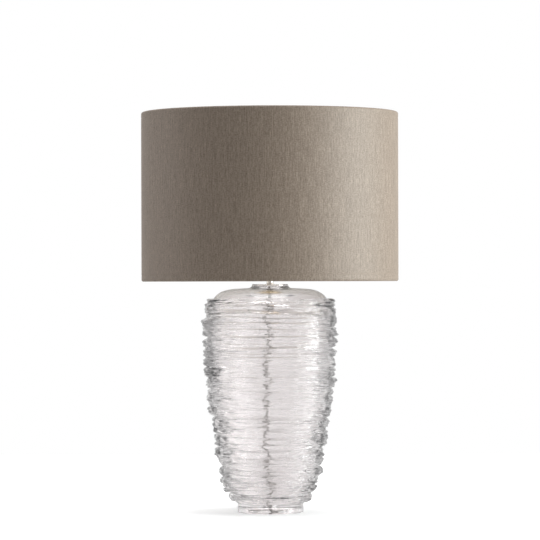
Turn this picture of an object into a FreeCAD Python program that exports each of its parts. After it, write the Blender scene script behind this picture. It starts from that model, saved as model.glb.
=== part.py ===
import FreeCAD, Part
import math
import os

import Sketcher
from FreeCAD import Placement, Rotation, Vector

# Table lamp: a clear blown-glass base wound with glass threads, a brass stem and lampholder, a wire shade
# carrier and a fabric drum shade. Millimetres, +Z up, origin at the centre of the foot's underside. The
# front faces -Y, and the flex leaves through a notch at the back of the foot.

doc = FreeCAD.newDocument("TableLamp")
sheet = doc.addObject("Spreadsheet::Sheet", "Sizes")


# ---------------------------------------------------------------- driving sizes

class Length:
    """A number together with the sheet formula that gives it."""

    def __init__(self, number, formula):
        self.number = float(number)
        self.formula = formula

    def __float__(self):
        return self.number

    def __add__(self, other):
        other = as_length(other)
        return Length(self.number + other.number, f"({self.formula} + {other.formula})")

    def __radd__(self, other):
        return as_length(other) + self

    def __sub__(self, other):
        other = as_length(other)
        return Length(self.number - other.number, f"({self.formula} - {other.formula})")

    def __rsub__(self, other):
        return as_length(other) - self

    def __neg__(self):
        return Length(-self.number, f"(0 - {self.formula})")

    def __mul__(self, factor):
        return Length(self.number * factor, f"({self.formula} * {factor})")

    __rmul__ = __mul__

    def __truediv__(self, divisor):
        return Length(self.number / divisor, f"({self.formula} / {divisor})")


def as_length(value):
    """Any number as a Length."""
    return value if isinstance(value, Length) else Length(value, repr(float(value)))


def size(alias, number, meaning):
    """One row of the sheet: what the size is, and its value under its alias."""
    row = size.rows = size.rows + 1
    sheet.set(f"A{row}", meaning)
    sheet.set(f"B{row}", str(number))
    sheet.setAlias(f"B{row}", alias)
    return Length(number, f"Sizes.{alias}")


size.rows = 0

# Glass base
foot_radius = size("foot_radius", 52.2, "outer radius of the plain foot")
foot_height = size("foot_height", 14.0, "height of the plain foot")
foot_rounding = size("foot_rounding", 3.2, "rounding of the foot's lower edge")
rim_width = size("rim_width", 9.2, "width of the ring that the foot stands on")
recess_depth = size("recess_depth", 10.0, "depth of the hollow under the foot")
floor_thickness = size("floor_thickness", 10.0, "glass between that hollow and the vessel's inside")
floor_hole_radius = size("floor_hole_radius", 8.0, "hole for the flex through the vessel's floor")
glass_wall = size("glass_wall", 6.0, "wall of the vessel")
heel_radius = size("heel_radius", 64.0, "vessel's radius at the heel")
heel_height = size("heel_height", 34.0, "height of the heel")
calf_radius = size("calf_radius", 75.5, "vessel's radius at the calf")
calf_height = size("calf_height", 82.0, "height of the calf")
waist_radius = size("waist_radius", 86.0, "vessel's radius at the waist")
waist_height = size("waist_height", 148.0, "height of the waist")
chest_radius = size("chest_radius", 95.5, "vessel's radius at the chest")
chest_height = size("chest_height", 218.0, "height of the chest")
belly_radius = size("belly_radius", 98.2, "vessel's radius at its widest")
belly_height = size("belly_height", 280.0, "height of the widest place")
brow_radius = size("brow_radius", 95.3, "vessel's radius where it starts to turn in")
brow_height = size("brow_height", 326.0, "height where it starts to turn in")
turn_radius = size("turn_radius", 87.4, "vessel's radius half way round the shoulder")
turn_height = size("turn_height", 341.0, "height half way round the shoulder")
crown_radius = size("crown_radius", 73.5, "radius where the shoulder grows level")
crown_height = size("crown_height", 350.0, "height where the shoulder grows level")
saddle_radius = size("saddle_radius", 52.0, "radius on the level shoulder")
saddle_height = size("saddle_height", 353.6, "height of the level shoulder")
collar_root_radius = size("collar_root_radius", 34.0, "radius where the collar leaves the shoulder")
collar_root_height = size("collar_root_height", 354.4, "height where the collar leaves the shoulder")
collar_radius = size("collar_radius", 28.6, "outer radius of the collar's lip")
collar_bore_radius = size("collar_bore_radius", 25.0, "bore of the collar above its ledge")
lip_crown = size("lip_crown", 0.8, "rise of the rounded lip")
ledge_depth = size("ledge_depth", 4.6, "depth of the ledge below the lip")
neck_bore_radius = size("neck_bore_radius", 20.0, "bore of the neck below the ledge")
cavity_floor_radius = size("cavity_floor_radius", 46.0, "radius of the flat floor inside")
notch_width = size("notch_width", 24.0, "width of the flex notch in the foot")
notch_height = size("notch_height", 9.4, "height of the flex notch")
notch_offset = size("notch_offset", 11.0, "sideways place of the flex notch")

# Trailed threads
thread_diameter = size("thread_diameter", 5.4, "thickness of a trailed thread")
thread_gap = size("thread_gap", 0.3, "least gap between thread and vessel")
thread_turns = size("thread_turns", 24, "turns of each of the two threads")
thread_low = size("thread_low", 30.0, "height where the threads begin")
thread_high = size("thread_high", 333.0, "height where the threads end")
thread_wander = size("thread_wander", 2.4, "how far a thread strays outwards")
thread_sway = size("thread_sway", 1.8, "how far a thread rises and dips")

# Neck and stem
seal_thickness = size("seal_thickness", 0.8, "clear ring under the cap")
cap_thickness = size("cap_thickness", 2.6, "neck cap")
cap_clearance = size("cap_clearance", 0.3, "gap between cap and collar bore")
stem_radius = size("stem_radius", 5.5, "outer radius of the stem tube")
stem_bore_radius = size("stem_bore_radius", 3.4, "bore of the stem tube")
stem_below_cap = size("stem_below_cap", 3.4, "length of tube below the cap")
stem_above_cap = size("stem_above_cap", 34.4, "length of tube above the cap")
nut_flats = size("nut_flats", 17.0, "stem nut across its flats")
nut_thickness = size("nut_thickness", 2.6, "thickness of the stem nut")
bush_flange = size("bush_flange", 1.2, "flange of the bush at the tube's lower end")
bush_length = size("bush_length", 4.4, "length of that bush inside the tube")
slip = size("slip", 0.1, "clearance of pieces that are pushed together")
running_gap = size("running_gap", 0.3, "clearance of pieces that move past each other")

# Flex
cord_diameter = size("cord_diameter", 5.2, "diameter of the round flex")
cord_clearance = size("cord_clearance", 0.15, "gap between flex and a bush")
grommet_flange = size("grommet_flange", 1.5, "flange of the floor grommet")

# Lampholder
shell_radius = size("shell_radius", 19.75, "outer radius of the lampholder's shells")
shell_wall = size("shell_wall", 1.0, "thickness of the lampholder's shells")
socket_neck_radius = size("socket_neck_radius", 8.2, "neck of the lower shell")
socket_neck_length = size("socket_neck_length", 9.0, "length of stem inside the neck")
socket_neck_height = size("socket_neck_height", 7.0, "height of that neck outside")
socket_cone_height = size("socket_cone_height", 8.5, "cone of the lower shell")
socket_skirt_height = size("socket_skirt_height", 13.5, "straight part of the lower shell")
sleeve_height = size("sleeve_height", 33.0, "height of the upper shell")
flange_radius = size("flange_radius", 25.0, "flange that carries the shade carrier")
flange_thickness = size("flange_thickness", 2.0, "thickness of that flange")
flange_rise = size("flange_rise", 8.0, "flange above the upper shell's lower edge")
sleeve_mouth_radius = size("sleeve_mouth_radius", 15.2, "mouth of the upper shell")
insulator_seat = size("insulator_seat", 2.0, "how far the insulating cup sits in the lower shell")
insulator_floor = size("insulator_floor", 6.0, "floor of the insulating cup")
insulator_height = size("insulator_height", 31.0, "height of the insulating cup")
screw_shell_radius = size("screw_shell_radius", 14.2, "outer radius of the screw shell")
screw_shell_wall = size("screw_shell_wall", 0.6, "thickness of the screw shell")
screw_shell_height = size("screw_shell_height", 22.0, "height of the screw shell")
contact_thickness = size("contact_thickness", 0.9, "centre contact")
contact_radius = size("contact_radius", 2.5, "radius of the centre contact")
side_contact_height = size("side_contact_height", 2.0, "side contact under the screw shell")
side_contact_depth = size("side_contact_depth", 2.4, "side contact along the radius")
side_contact_width = size("side_contact_width", 4.0, "side contact across the radius")
grip_height = size("grip_height", 4.3, "cord grip")
grip_radius = size("grip_radius", 6.5, "outer radius of the cord grip")
core_diameter = size("core_diameter", 1.8, "insulated core of the flex")
terminal_spread = size("terminal_spread", 9.8, "distance of each terminal from the axis")
terminal_height = size("terminal_height", 4.0, "height of a terminal block")
terminal_width = size("terminal_width", 4.6, "width of a terminal block")
screw_radius = size("screw_radius", 1.5, "radius of a terminal screw's head")
screw_length = size("screw_length", 2.2, "length of a terminal screw outside its block")
grub_radius = size("grub_radius", 1.6, "radius of the grub screw")
grub_length = size("grub_length", 3.8, "length of the grub screw")
bar_radius = size("bar_radius", 3.0, "radius of the push bar")
bar_length = size("bar_length", 58.0, "length of the push bar")
bar_travel = size("bar_travel", 6.0, "travel of the push bar")
bar_drop = size("bar_drop", 5.4, "push bar's axis below the insulating cup")
bar_rounding = size("bar_rounding", 1.2, "rounding of the push bar's ends")
switch_length = size("switch_length", 18.0, "length of the switch block")
switch_width = size("switch_width", 10.8, "width of the switch block")
switch_height = size("switch_height", 9.8, "height of the switch block")

# Shade carrier
carrier_thickness = size("carrier_thickness", 2.0, "thickness of the carrier's ring")
carrier_radius = size("carrier_radius", 24.4, "outer radius of the carrier's ring")
retainer_height = size("retainer_height", 5.4, "height of the ring nut")
retainer_radius = size("retainer_radius", 24.0, "outer radius of the ring nut")
carrier_wire_radius = size("carrier_wire_radius", 1.5, "radius of the carrier's wires")
carrier_wire_count = size("carrier_wire_count", 3, "number of carrier wires")
carrier_foot_run = size("carrier_foot_run", 8.5, "level run at the foot of a carrier wire")
carrier_slope_height = size("carrier_slope_height", 27.0, "height over which a carrier wire slopes out")
carrier_spread = size("carrier_spread", 44.0, "distance of the upright wires from the axis")
carrier_bend = size("carrier_bend", 6.0, "bend radius of the carrier's wires")
carrier_height = size("carrier_height", 150.0, "height of the carrier's top ring above its lower ring")
prong_height = size("prong_height", 12.0, "height of the prongs above that top ring")

# Drum shade
shade_radius = size("shade_radius", 203.0, "outer radius of the drum")
shade_height = size("shade_height", 267.0, "height of the drum")
shade_bottom = size("shade_bottom", 365.0, "height of the drum's lower edge above the table")
fabric_thickness = size("fabric_thickness", 0.6, "woven skin")
liner_thickness = size("liner_thickness", 1.0, "stiff liner")
liner_gap = size("liner_gap", 0.2, "gap between liner and skin")
hem_lap = size("hem_lap", 1.0, "how far the skin reaches over the side of a rolled hem")
hem_radius = size("hem_radius", 3.0, "radius of the rolled hems")
frame_wire_radius = size("frame_wire_radius", 2.2, "radius of the shade's ring wires")
duplex_width = size("duplex_width", 7.0, "width of the shade's fitting ring")
duplex_thickness = size("duplex_thickness", 2.0, "thickness of the shade's fitting ring")
arm_radius = size("arm_radius", 1.6, "radius of a spider arm")
arm_count = size("arm_count", 3, "number of spider arms")
arm_level_run = size("arm_level_run", 16.0, "level run at each end of a spider arm")
arm_bend = size("arm_bend", 15.0, "bend radius of a spider arm")

# Bulb
bulb_cap_radius = size("bulb_cap_radius", 13.1, "outer radius of the screw cap")
bulb_cap_wall = size("bulb_cap_wall", 0.6, "thickness of the screw cap")
bulb_cap_height = size("bulb_cap_height", 21.4, "height of the screw cap")
bulb_cap_cone = size("bulb_cap_cone", 2.0, "cone at the screw cap's lower edge")
bulb_seat_radius = size("bulb_seat_radius", 10.6, "radius where the screw cap meets its insulator")
bulb_tip_radius = size("bulb_tip_radius", 3.2, "radius of the bulb's tip")
bulb_tip_height = size("bulb_tip_height", 0.8, "height of the bulb's tip")
bulb_insulator_height = size("bulb_insulator_height", 3.6, "black insulator above the tip")
bulb_insulator_rim = size("bulb_insulator_rim", 1.0, "straight rim of that insulator")
bulb_insulator_radius = size("bulb_insulator_radius", 5.0, "that insulator's lower radius")
globe_radius = size("globe_radius", 30.0, "radius of the glass globe")
globe_wall = size("globe_wall", 0.9, "wall of the glass globe")
globe_neck_radius = size("globe_neck_radius", 12.3, "radius of the globe's neck inside the cap")
globe_neck_length = size("globe_neck_length", 22.0, "length of the globe's neck")
globe_centre_rise = size("globe_centre_rise", 67.0, "globe's centre above the neck's lower end")
globe_seat = size("globe_seat", 1.0, "globe's neck above the cap's cone")
bulb_stem_radius = size("bulb_stem_radius", 4.0, "radius of the glass stem inside the globe")
bulb_stem_height = size("bulb_stem_height", 44.0, "height of the glass stem")
bulb_stem_flare = size("bulb_stem_flare", 12.0, "height over which the glass stem flares out")
bulb_stem_disc = size("bulb_stem_disc", 1.6, "thickness of the stem's lower edge")
filament_radius = size("filament_radius", 1.0, "radius of a filament stick")
filament_length = size("filament_length", 36.0, "length of a filament stick")
filament_count = size("filament_count", 4, "number of filament sticks")
filament_lean = size("filament_lean", 4.0, "how far a filament stick leans out")
filament_overlap = size("filament_overlap", 6.0, "length of a stick beside the glass stem")

# Flex put away behind the lamp
coil_radius = size("coil_radius", 44.0, "radius of the coil's outermost turn")
coil_step = size("coil_step", 5.9, "distance from one turn to the next")
coil_layer_step = size("coil_layer_step", 5.8, "distance from one layer to the next")
coil_turns = size("coil_turns", 3, "whole turns in each of the two layers")
coil_x = size("coil_x", 7.0, "sideways place of the coil's centre")
coil_y = size("coil_y", 175.0, "place of the coil's centre behind the lamp")
coil_lift = size("coil_lift", 4.1, "height of the lowest turn's centre line")
tie_width = size("tie_width", 9.0, "width of the coil's tie")
tie_thickness = size("tie_thickness", 1.0, "thickness of the coil's tie")
tie_clearance = size("tie_clearance", 0.3, "gap between the tie and the coil")

# Plug: flat two-pin plug
plug_x = size("plug_x", -35.0, "sideways place of the plug")
plug_rear = size("plug_rear", 124.0, "where the flex meets the plug's strain relief")
plug_lift = size("plug_lift", 0.2, "gap under the plug")
plug_width = size("plug_width", 35.3, "width of the plug")
plug_thickness = size("plug_thickness", 13.7, "thickness of the plug")
plug_length = size("plug_length", 36.0, "length of the plug's body")
plug_tail_width = size("plug_tail_width", 18.0, "width of the plug's tail")
plug_shoulder = size("plug_shoulder", 16.0, "length of the plug's widest part")
plug_rounding = size("plug_rounding", 2.0, "rounding of the plug's edges")
relief_length = size("relief_length", 14.0, "length of the strain relief")
relief_wide = size("relief_wide", 5.6, "wide radius of the strain relief")
relief_narrow = size("relief_narrow", 3.8, "narrow radius of the strain relief")
pin_radius = size("pin_radius", 2.0, "radius of a plug pin")
pin_length = size("pin_length", 19.0, "length of a plug pin")
pin_spread = size("pin_spread", 9.5, "distance of each pin from the plug's middle")

doc.recompute()

# Heights that follow from the sizes
cavity_floor = recess_depth + floor_thickness
lip_height = collar_root_height + collar_root_radius - collar_radius
ledge_height = lip_height - ledge_depth
cap_bottom = ledge_height + seal_thickness
cap_top = cap_bottom + cap_thickness
stem_bottom = cap_bottom - stem_below_cap
stem_top = cap_top + stem_above_cap
socket_bottom = stem_top - socket_neck_length
socket_top = socket_bottom + socket_neck_height + socket_cone_height + socket_skirt_height
cup_bottom = socket_top - insulator_seat
cup_inside = cup_bottom + insulator_floor
flange_top = socket_top + flange_rise + flange_thickness
carrier_base = flange_top + running_gap
carrier_ring_height = carrier_base + carrier_height
duplex_bottom = carrier_ring_height + carrier_wire_radius + running_gap
shade_top = shade_bottom + shade_height
tip_bottom = cup_inside + contact_thickness + running_gap
bar_height = cup_bottom - bar_drop
grip_bottom = stem_top + slip
grip_top = grip_bottom + grip_height
cord_radius = cord_diameter / 2
bush_bore_radius = cord_radius + cord_clearance


# ---------------------------------------------------------------- ways to build a piece

pieces = []


def piece(item, node):
    """Marks an object as a finished piece and names it."""
    item.Label = node
    pieces.append(item)
    return item


def bind(item, name, value):
    """Ties one property to the sheet."""
    item.setExpression(name, as_length(value).formula)


def place(item, x=0.0, y=0.0, z=0.0):
    """Ties an object's place to the sheet."""
    bind(item, "Placement.Base.x", x)
    bind(item, "Placement.Base.y", y)
    bind(item, "Placement.Base.z", z)


def cylinder(name, radius, height, x=0.0, y=0.0, z=0.0, axis=Vector(0, 0, 1)):
    """A cylinder that starts at x, y, z and runs along the axis."""
    item = doc.addObject("Part::Cylinder", name)
    item.Placement = Placement(Vector(), Rotation(Vector(0, 0, 1), axis))
    bind(item, "Radius", radius)
    bind(item, "Height", height)
    place(item, x, y, z)
    return item


def box(name, length, width, height, x, y, z):
    """A box centred on x and y that stands on z."""
    item = doc.addObject("Part::Box", name)
    bind(item, "Length", length)
    bind(item, "Width", width)
    bind(item, "Height", height)
    place(item, as_length(x) - length / 2, as_length(y) - width / 2, z)
    return item


def torus(name, ring_radius, tube_radius, height):
    """A ring of round section, level, centred on the axis."""
    item = doc.addObject("Part::Torus", name)
    bind(item, "Radius1", ring_radius)
    bind(item, "Radius2", tube_radius)
    place(item, z=height)
    return item


def cut(name, base, tool):
    """One object less another."""
    item = doc.addObject("Part::Cut", name)
    item.Base = base
    item.Tool = tool
    return item


def fuse(name, items):
    """Several objects as one."""
    item = doc.addObject("Part::MultiFuse", name)
    item.Shapes = items
    return item


def group(name, items):
    """Several equal solids kept apart in one object."""
    item = doc.addObject("Part::Compound", name)
    item.Links = items
    return item


def tube(name, outer, inner, height, z):
    """A plain ring or tube about the axis."""
    whole = cylinder(name + "_outside", outer, height, z=z)
    overshoot = 1.0
    bore = cylinder(name + "_bore", inner, as_length(height) + 2 * overshoot, z=as_length(z) - overshoot)
    return cut(name, whole, bore)


def origin_plane(body, role):
    """One of a body's own origin planes."""
    return next(plane for plane in body.Origin.OriginFeatures if plane.Role == role)


def outline_sketch(body, name, role, corners):
    """A closed outline of straight lines whose corners are tied to the sheet."""
    sketch = body.newObject("Sketcher::SketchObject", name)
    sketch.AttachmentSupport = [(origin_plane(body, role), "")]
    sketch.MapMode = "FlatFace"
    spots = [Vector(float(across), float(up), 0) for across, up in corners]
    count = len(corners)
    for index in range(count):
        sketch.addGeometry(Part.LineSegment(spots[index], spots[(index + 1) % count]), False)
    for index in range(count):
        sketch.addConstraint(Sketcher.Constraint("Coincident", index, 2, (index + 1) % count, 1))
    for index, (across, up) in enumerate(corners):
        for kind, value, on_axis in (("DistanceX", across, -2), ("DistanceY", up, -1)):
            if float(value) == 0.0:
                sketch.addConstraint(Sketcher.Constraint("PointOnObject", index, 1, on_axis))
                continue
            number = sketch.addConstraint(Sketcher.Constraint(kind, -1, 1, index, 1, float(value)))
            sketch.setExpression(f"Constraints[{number}]", as_length(value).formula)
    return sketch


def turned(name, corners):
    """A piece turned about Z; its outline's corners are pairs of radius and height."""
    body = doc.addObject("PartDesign::Body", name)
    sketch = outline_sketch(body, name + "_outline", "XZ_Plane", corners)
    turn = body.newObject("PartDesign::Revolution", name + "_turn")
    turn.Profile = sketch
    turn.ReferenceAxis = (sketch, ["V_Axis"])
    turn.Angle = 360.0
    return body


def solid(name, shape):
    """A piece whose free form comes from its own formula."""
    item = doc.addObject("Part::Feature", name)
    item.Shape = shape
    item.Placement = Placement()
    return item


# ---------------------------------------------------------------- round bars along a path

def run_to_run_path(points, bend=None):
    """Straight runs joined by tangent arcs, with the arcs' radii.

    Each arc is as large as its two runs allow, unless a bend radius is given.
    """
    edges = []
    radii = []
    last = points[0]
    for before, corner, after in zip(points, points[1:], points[2:]):
        back = (before - corner).normalize()
        on = (after - corner).normalize()
        half_turn = (math.pi - back.getAngle(on)) / 2
        reach = 0.45 * min((before - corner).Length, (after - corner).Length)
        if bend is not None:
            reach = float(bend) * math.tan(half_turn)
        radius = reach / math.tan(half_turn)
        start = corner + back * reach
        end = corner + on * reach
        middle = corner + (back + on).normalize() * (radius / math.cos(half_turn) - radius)
        edges.append(Part.LineSegment(last, start).toShape())
        edges.append(Part.Arc(start, middle, end).toShape())
        radii.append(radius)
        last = end
    edges.append(Part.LineSegment(last, points[-1]).toShape())
    return Part.Wire(edges), radii


def arc_from(start, direction, end):
    """The arc that leaves start along a direction and reaches end."""
    chord = end - start
    side = chord - direction * chord.dot(direction)
    radius = chord.dot(chord) / (2 * side.Length)
    centre = start + side.normalize() * radius
    middle = centre + ((start - centre) + (end - centre)).normalize() * radius
    return Part.Arc(start, middle, end).toShape()


def biarc(start, start_direction, end, end_direction):
    """Two tangent arcs between two places and directions."""
    chord = end - start
    both = start_direction + end_direction
    slack = 2 * (1 - start_direction.dot(end_direction))
    along = chord.dot(both)
    reach = (math.sqrt(along * along + slack * chord.dot(chord)) - along) / slack
    joint = (start + start_direction * reach + end - end_direction * reach) * 0.5
    first = arc_from(start, start_direction, joint)
    second = arc_from(end, end_direction * -1, joint)
    return [first, second]


def wound_path(place_at, turns, end_run):
    """Biarcs of a quarter turn along a winding, with a straight run at each end."""
    step = 1e-4

    def direction_at(turn):
        return (place_at(turn + step) - place_at(turn - step)).normalize()

    quarters = [quarter / 4 for quarter in range(round(turns * 4) + 1)]
    edges = []
    for low, high in zip(quarters, quarters[1:]):
        edges += biarc(place_at(low), direction_at(low), place_at(high), direction_at(high))
    head = place_at(0)
    tail = place_at(quarters[-1])
    before = head - direction_at(0) * float(end_run)
    after = tail + direction_at(quarters[-1]) * float(end_run)
    edges.insert(0, Part.LineSegment(before, head).toShape())
    edges.append(Part.LineSegment(tail, after).toShape())
    return Part.Wire(edges)


def round_bar(path, radius):
    """A round solid along a path."""
    start = path.Edges[0].valueAt(path.Edges[0].FirstParameter)
    ahead = path.Edges[0].tangentAt(path.Edges[0].FirstParameter)
    section = Part.Wire([Part.makeCircle(float(radius), start, ahead)])
    bar = path.makePipeShell([section], True, False)
    expected = math.pi * float(radius) ** 2 * path.Length
    print(f"  bar of {path.Length:.0f} mm: volume is {bar.Volume / expected:.4f} of section times length")
    return bar


def least_gap(place_at, turns, diameter, other_at=None):
    """The least gap of a winding to its own next turns, or to another winding."""
    per_turn = 48
    spots = [place_at(index / per_turn) for index in range(round(turns * per_turn) + 1)]
    others = spots if other_at is None else [
        other_at(index / per_turn) for index in range(round(turns * per_turn) + 1)
    ]
    least = math.inf
    for index, spot in enumerate(spots):
        for number, other in enumerate(others):
            near = abs(index - number)
            if other_at is None and near < per_turn * 3 // 4:
                continue
            if near > per_turn * 3 // 2 and other_at is not None:
                continue
            least = min(least, spot.distanceToPoint(other))
    return least - float(diameter)


def around(radius, degrees, height):
    """A place at a radius, an angle and a height."""
    angle = math.radians(degrees)
    return Vector(float(radius) * math.cos(angle), float(radius) * math.sin(angle), float(height))


# ---------------------------------------------------------------- glass base

GLASS_STATIONS = [
    (foot_radius, foot_height),
    (heel_radius, heel_height),
    (calf_radius, calf_height),
    (waist_radius, waist_height),
    (chest_radius, chest_height),
    (belly_radius, belly_height),
    (brow_radius, brow_height),
    (turn_radius, turn_height),
    (crown_radius, crown_height),
    (saddle_radius, saddle_height),
    (collar_root_radius, collar_root_height),
]


def smooth_outline(stations):
    """A smooth curve in the XZ plane through pairs of radius and height."""
    curve = Part.BSplineCurve()
    curve.interpolate([Vector(float(radius), 0, float(height)) for radius, height in stations])
    return curve


def outward(curve, parameter):
    """The unit normal that points away from the axis or upwards."""
    ahead = Vector(*curve.tangent(parameter)[0])
    return Vector(ahead.z, 0, -ahead.x)


def inset_stations(curve, stations, wall):
    """The stations moved square to the curve by the wall."""
    moved = []
    for radius, height in stations:
        spot = Vector(float(radius), 0, float(height))
        inside = spot - outward(curve, curve.parameter(spot)) * float(wall)
        moved.append((inside.x, inside.z))
    return moved


def turned_face(edges):
    """A closed outline in the XZ plane turned once about Z."""
    face = Part.Face(Part.Wire(edges))
    return face.revolve(Vector(), Vector(0, 0, 1), 360)


def line(start, end):
    """A straight edge in the XZ plane between pairs of radius and height."""
    first = Vector(float(start[0]), 0, float(start[1]))
    return Part.LineSegment(first, Vector(float(end[0]), 0, float(end[1]))).toShape()


def arc(start, middle, end):
    """An arc in the XZ plane through three pairs of radius and height."""
    spots = [Vector(float(radius), 0, float(height)) for radius, height in (start, middle, end)]
    return Part.Arc(*spots).toShape()


glass_outline = smooth_outline(GLASS_STATIONS)


def vessel_blank():
    """The blown vessel, open at its collar, before the flex notch is cut."""
    diagonal = math.sqrt(0.5)
    rounding = float(foot_rounding)
    foot_corner = float(foot_radius) - rounding
    recess_radius = float(foot_radius - rim_width)
    flare = float(collar_root_radius - collar_radius)
    lip = float(lip_height)
    inner = inset_stations(glass_outline, GLASS_STATIONS[1:], glass_wall)
    inner.insert(0, (float(cavity_floor_radius), float(cavity_floor)))
    ceiling = inner[-1]
    return turned_face([
        line((recess_radius, 0), (foot_corner, 0)),
        arc((foot_corner, 0),
            (foot_corner + rounding * diagonal, rounding * (1 - diagonal)),
            (foot_radius, rounding)),
        line((foot_radius, rounding), (foot_radius, foot_height)),
        glass_outline.toShape(),
        arc((collar_root_radius, collar_root_height),
            (float(collar_root_radius) - flare * diagonal, lip - flare * diagonal),
            (collar_radius, lip)),
        arc((collar_radius, lip),
            ((collar_radius + collar_bore_radius) / 2, lip + float(lip_crown)),
            (collar_bore_radius, lip)),
        line((collar_bore_radius, lip), (collar_bore_radius, ledge_height)),
        line((collar_bore_radius, ledge_height), (neck_bore_radius, ledge_height)),
        line((neck_bore_radius, ledge_height), (neck_bore_radius, ceiling[1])),
        line((neck_bore_radius, ceiling[1]), ceiling),
        smooth_outline(inner).toShape(),
        line((cavity_floor_radius, cavity_floor), (floor_hole_radius, cavity_floor)),
        line((floor_hole_radius, cavity_floor), (floor_hole_radius, recess_depth)),
        line((floor_hole_radius, recess_depth), (recess_radius, recess_depth)),
        line((recess_radius, recess_depth), (recess_radius, 0)),
    ])


def flex_notch():
    """An arch through the back of the foot's ring, along Y."""
    half_width = float(notch_width) / 2
    height = float(notch_height)
    arch_radius = (half_width ** 2 + height ** 2) / (2 * height)
    return cylinder("notch_arch", arch_radius, foot_radius, notch_offset, foot_radius / 2,
                    height - arch_radius, Vector(0, 1, 0))


def glass_point(height):
    """The vessel's surface at a height, with its outward normal."""
    low = glass_outline.FirstParameter
    high = glass_outline.parameter(Vector(float(crown_radius), 0, float(crown_height)))
    for _ in range(40):
        middle = (low + high) / 2
        if glass_outline.value(middle).z < height:
            low = middle
        else:
            high = middle
    return glass_outline.value(low), outward(glass_outline, low)


def thread_place(turn, lead_turn, wander_rate):
    """A trailed thread's centre line at a turn count."""
    turns = float(thread_turns)
    pitch = float(thread_high - thread_low) / turns
    angle = 2 * math.pi * turn
    sway = float(thread_sway) * (math.sin(angle + 0.7) + 0.35 * math.sin(3 * angle)) / 1.35
    height = float(thread_low) + pitch * (turn + lead_turn) + sway
    spot, normal = glass_point(height)
    stray = float(thread_wander) * (0.5 + 0.5 * math.sin(wander_rate * angle + 2.2 * lead_turn))
    out = spot + normal * (float(thread_diameter) / 2 + float(thread_gap) + stray)
    return Vector(out.x * math.cos(angle), out.x * math.sin(angle), out.z)


def build_glass():
    vessel = solid("vessel_blank", vessel_blank())
    piece(cut("vessel", vessel, flex_notch()), "glass_vessel")
    turns = float(thread_turns)
    winding_turns = turns - 0.5

    def thread_a(turn):
        return thread_place(turn, 0.0, 0.29)

    def thread_b(turn):
        return thread_place(turn, 0.5, 0.37)

    for node, place_at in (("thread_trail_a", thread_a), ("thread_trail_b", thread_b)):
        path = wound_path(place_at, winding_turns, thread_diameter)
        piece(solid(node, round_bar(path, thread_diameter / 2)), node)
        print(f"  {node}: least gap to itself {least_gap(place_at, winding_turns, thread_diameter):.2f}")
    between = least_gap(thread_a, winding_turns, thread_diameter, thread_b)
    print(f"  least gap between the threads {between:.2f}")


# ---------------------------------------------------------------- neck and stem

def build_neck():
    seal_outer = collar_bore_radius - cap_clearance
    piece(tube("seal", seal_outer, neck_bore_radius + cap_clearance, seal_thickness, ledge_height),
          "cap_seal")
    piece(tube("cap", seal_outer, stem_radius + slip, cap_thickness, cap_bottom), "neck_cap")
    piece(tube("stem", stem_radius, stem_bore_radius, stem_top - stem_bottom, stem_bottom), "stem_tube")

    nut = doc.addObject("Part::Prism", "nut_blank")
    nut.Polygon = 6
    bind(nut, "Circumradius", nut_flats / math.sqrt(3))
    bind(nut, "Height", nut_thickness)
    place(nut, z=cap_bottom - nut_thickness)
    nut_bore = cylinder("nut_bore", stem_radius + slip, nut_thickness * 3, z=cap_bottom - nut_thickness * 2)
    piece(cut("nut", nut, nut_bore), "stem_nut")

    spigot_radius = stem_bore_radius - slip
    bush_bottom = stem_bottom - bush_flange
    piece(turned("bush", [
        (bush_bore_radius, bush_bottom),
        (stem_radius, bush_bottom),
        (stem_radius, stem_bottom),
        (spigot_radius, stem_bottom),
        (spigot_radius, stem_bottom + bush_length),
        (bush_bore_radius, stem_bottom + bush_length),
    ]), "stem_bush")

    grommet_radius = floor_hole_radius - slip
    grommet_bore = cord_radius + cord_clearance * 4
    piece(turned("grommet", [
        (grommet_bore, recess_depth),
        (grommet_radius, recess_depth),
        (grommet_radius, cavity_floor),
        (grommet_radius + grommet_flange * 2, cavity_floor),
        (grommet_radius + grommet_flange, cavity_floor + grommet_flange),
        (grommet_bore, cavity_floor + grommet_flange),
    ]), "base_grommet")


# ---------------------------------------------------------------- lampholder

def build_holder_shells():
    inside = shell_radius - shell_wall
    neck_top = socket_bottom + socket_neck_height
    cone_top = neck_top + socket_cone_height
    blank = turned("socket_blank", [
        (stem_radius + slip, socket_bottom),
        (socket_neck_radius, socket_bottom),
        (socket_neck_radius, neck_top),
        (shell_radius, cone_top),
        (shell_radius, socket_top),
        (inside, socket_top),
        (inside, cone_top + shell_wall / 2),
        (socket_neck_radius - shell_wall, stem_top + slip),
        (stem_radius + slip, stem_top + slip),
    ])
    bar_hole = cylinder("bar_hole", bar_radius + running_gap, shell_radius * 3,
                        shell_radius * -1.5, 0.0, bar_height, Vector(1, 0, 0))
    grub_height = socket_bottom + socket_neck_length / 2
    grub_hole = cylinder("grub_hole", grub_radius + slip, socket_neck_radius * 2,
                         0.0, 0.0, grub_height, Vector(0, -1, 0))
    holes = fuse("socket_holes", [bar_hole, grub_hole])
    piece(cut("socket", blank, holes), "holder_cap")
    grub_start = -(stem_radius + slip)
    piece(cylinder("grub", grub_radius, grub_length, 0.0, grub_start, grub_height, Vector(0, -1, 0)),
          "grub_screw")

    flange_bottom = socket_top + flange_rise
    sleeve_top = socket_top + sleeve_height
    piece(turned("sleeve", [
        (shell_radius, socket_top),
        (shell_radius, flange_bottom),
        (flange_radius, flange_bottom),
        (flange_radius, flange_top),
        (shell_radius, flange_top),
        (shell_radius, sleeve_top),
        (sleeve_mouth_radius, sleeve_top),
        (sleeve_mouth_radius, sleeve_top - shell_wall),
        (inside, sleeve_top - shell_wall),
        (inside, socket_top),
    ]), "holder_sleeve")


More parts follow.
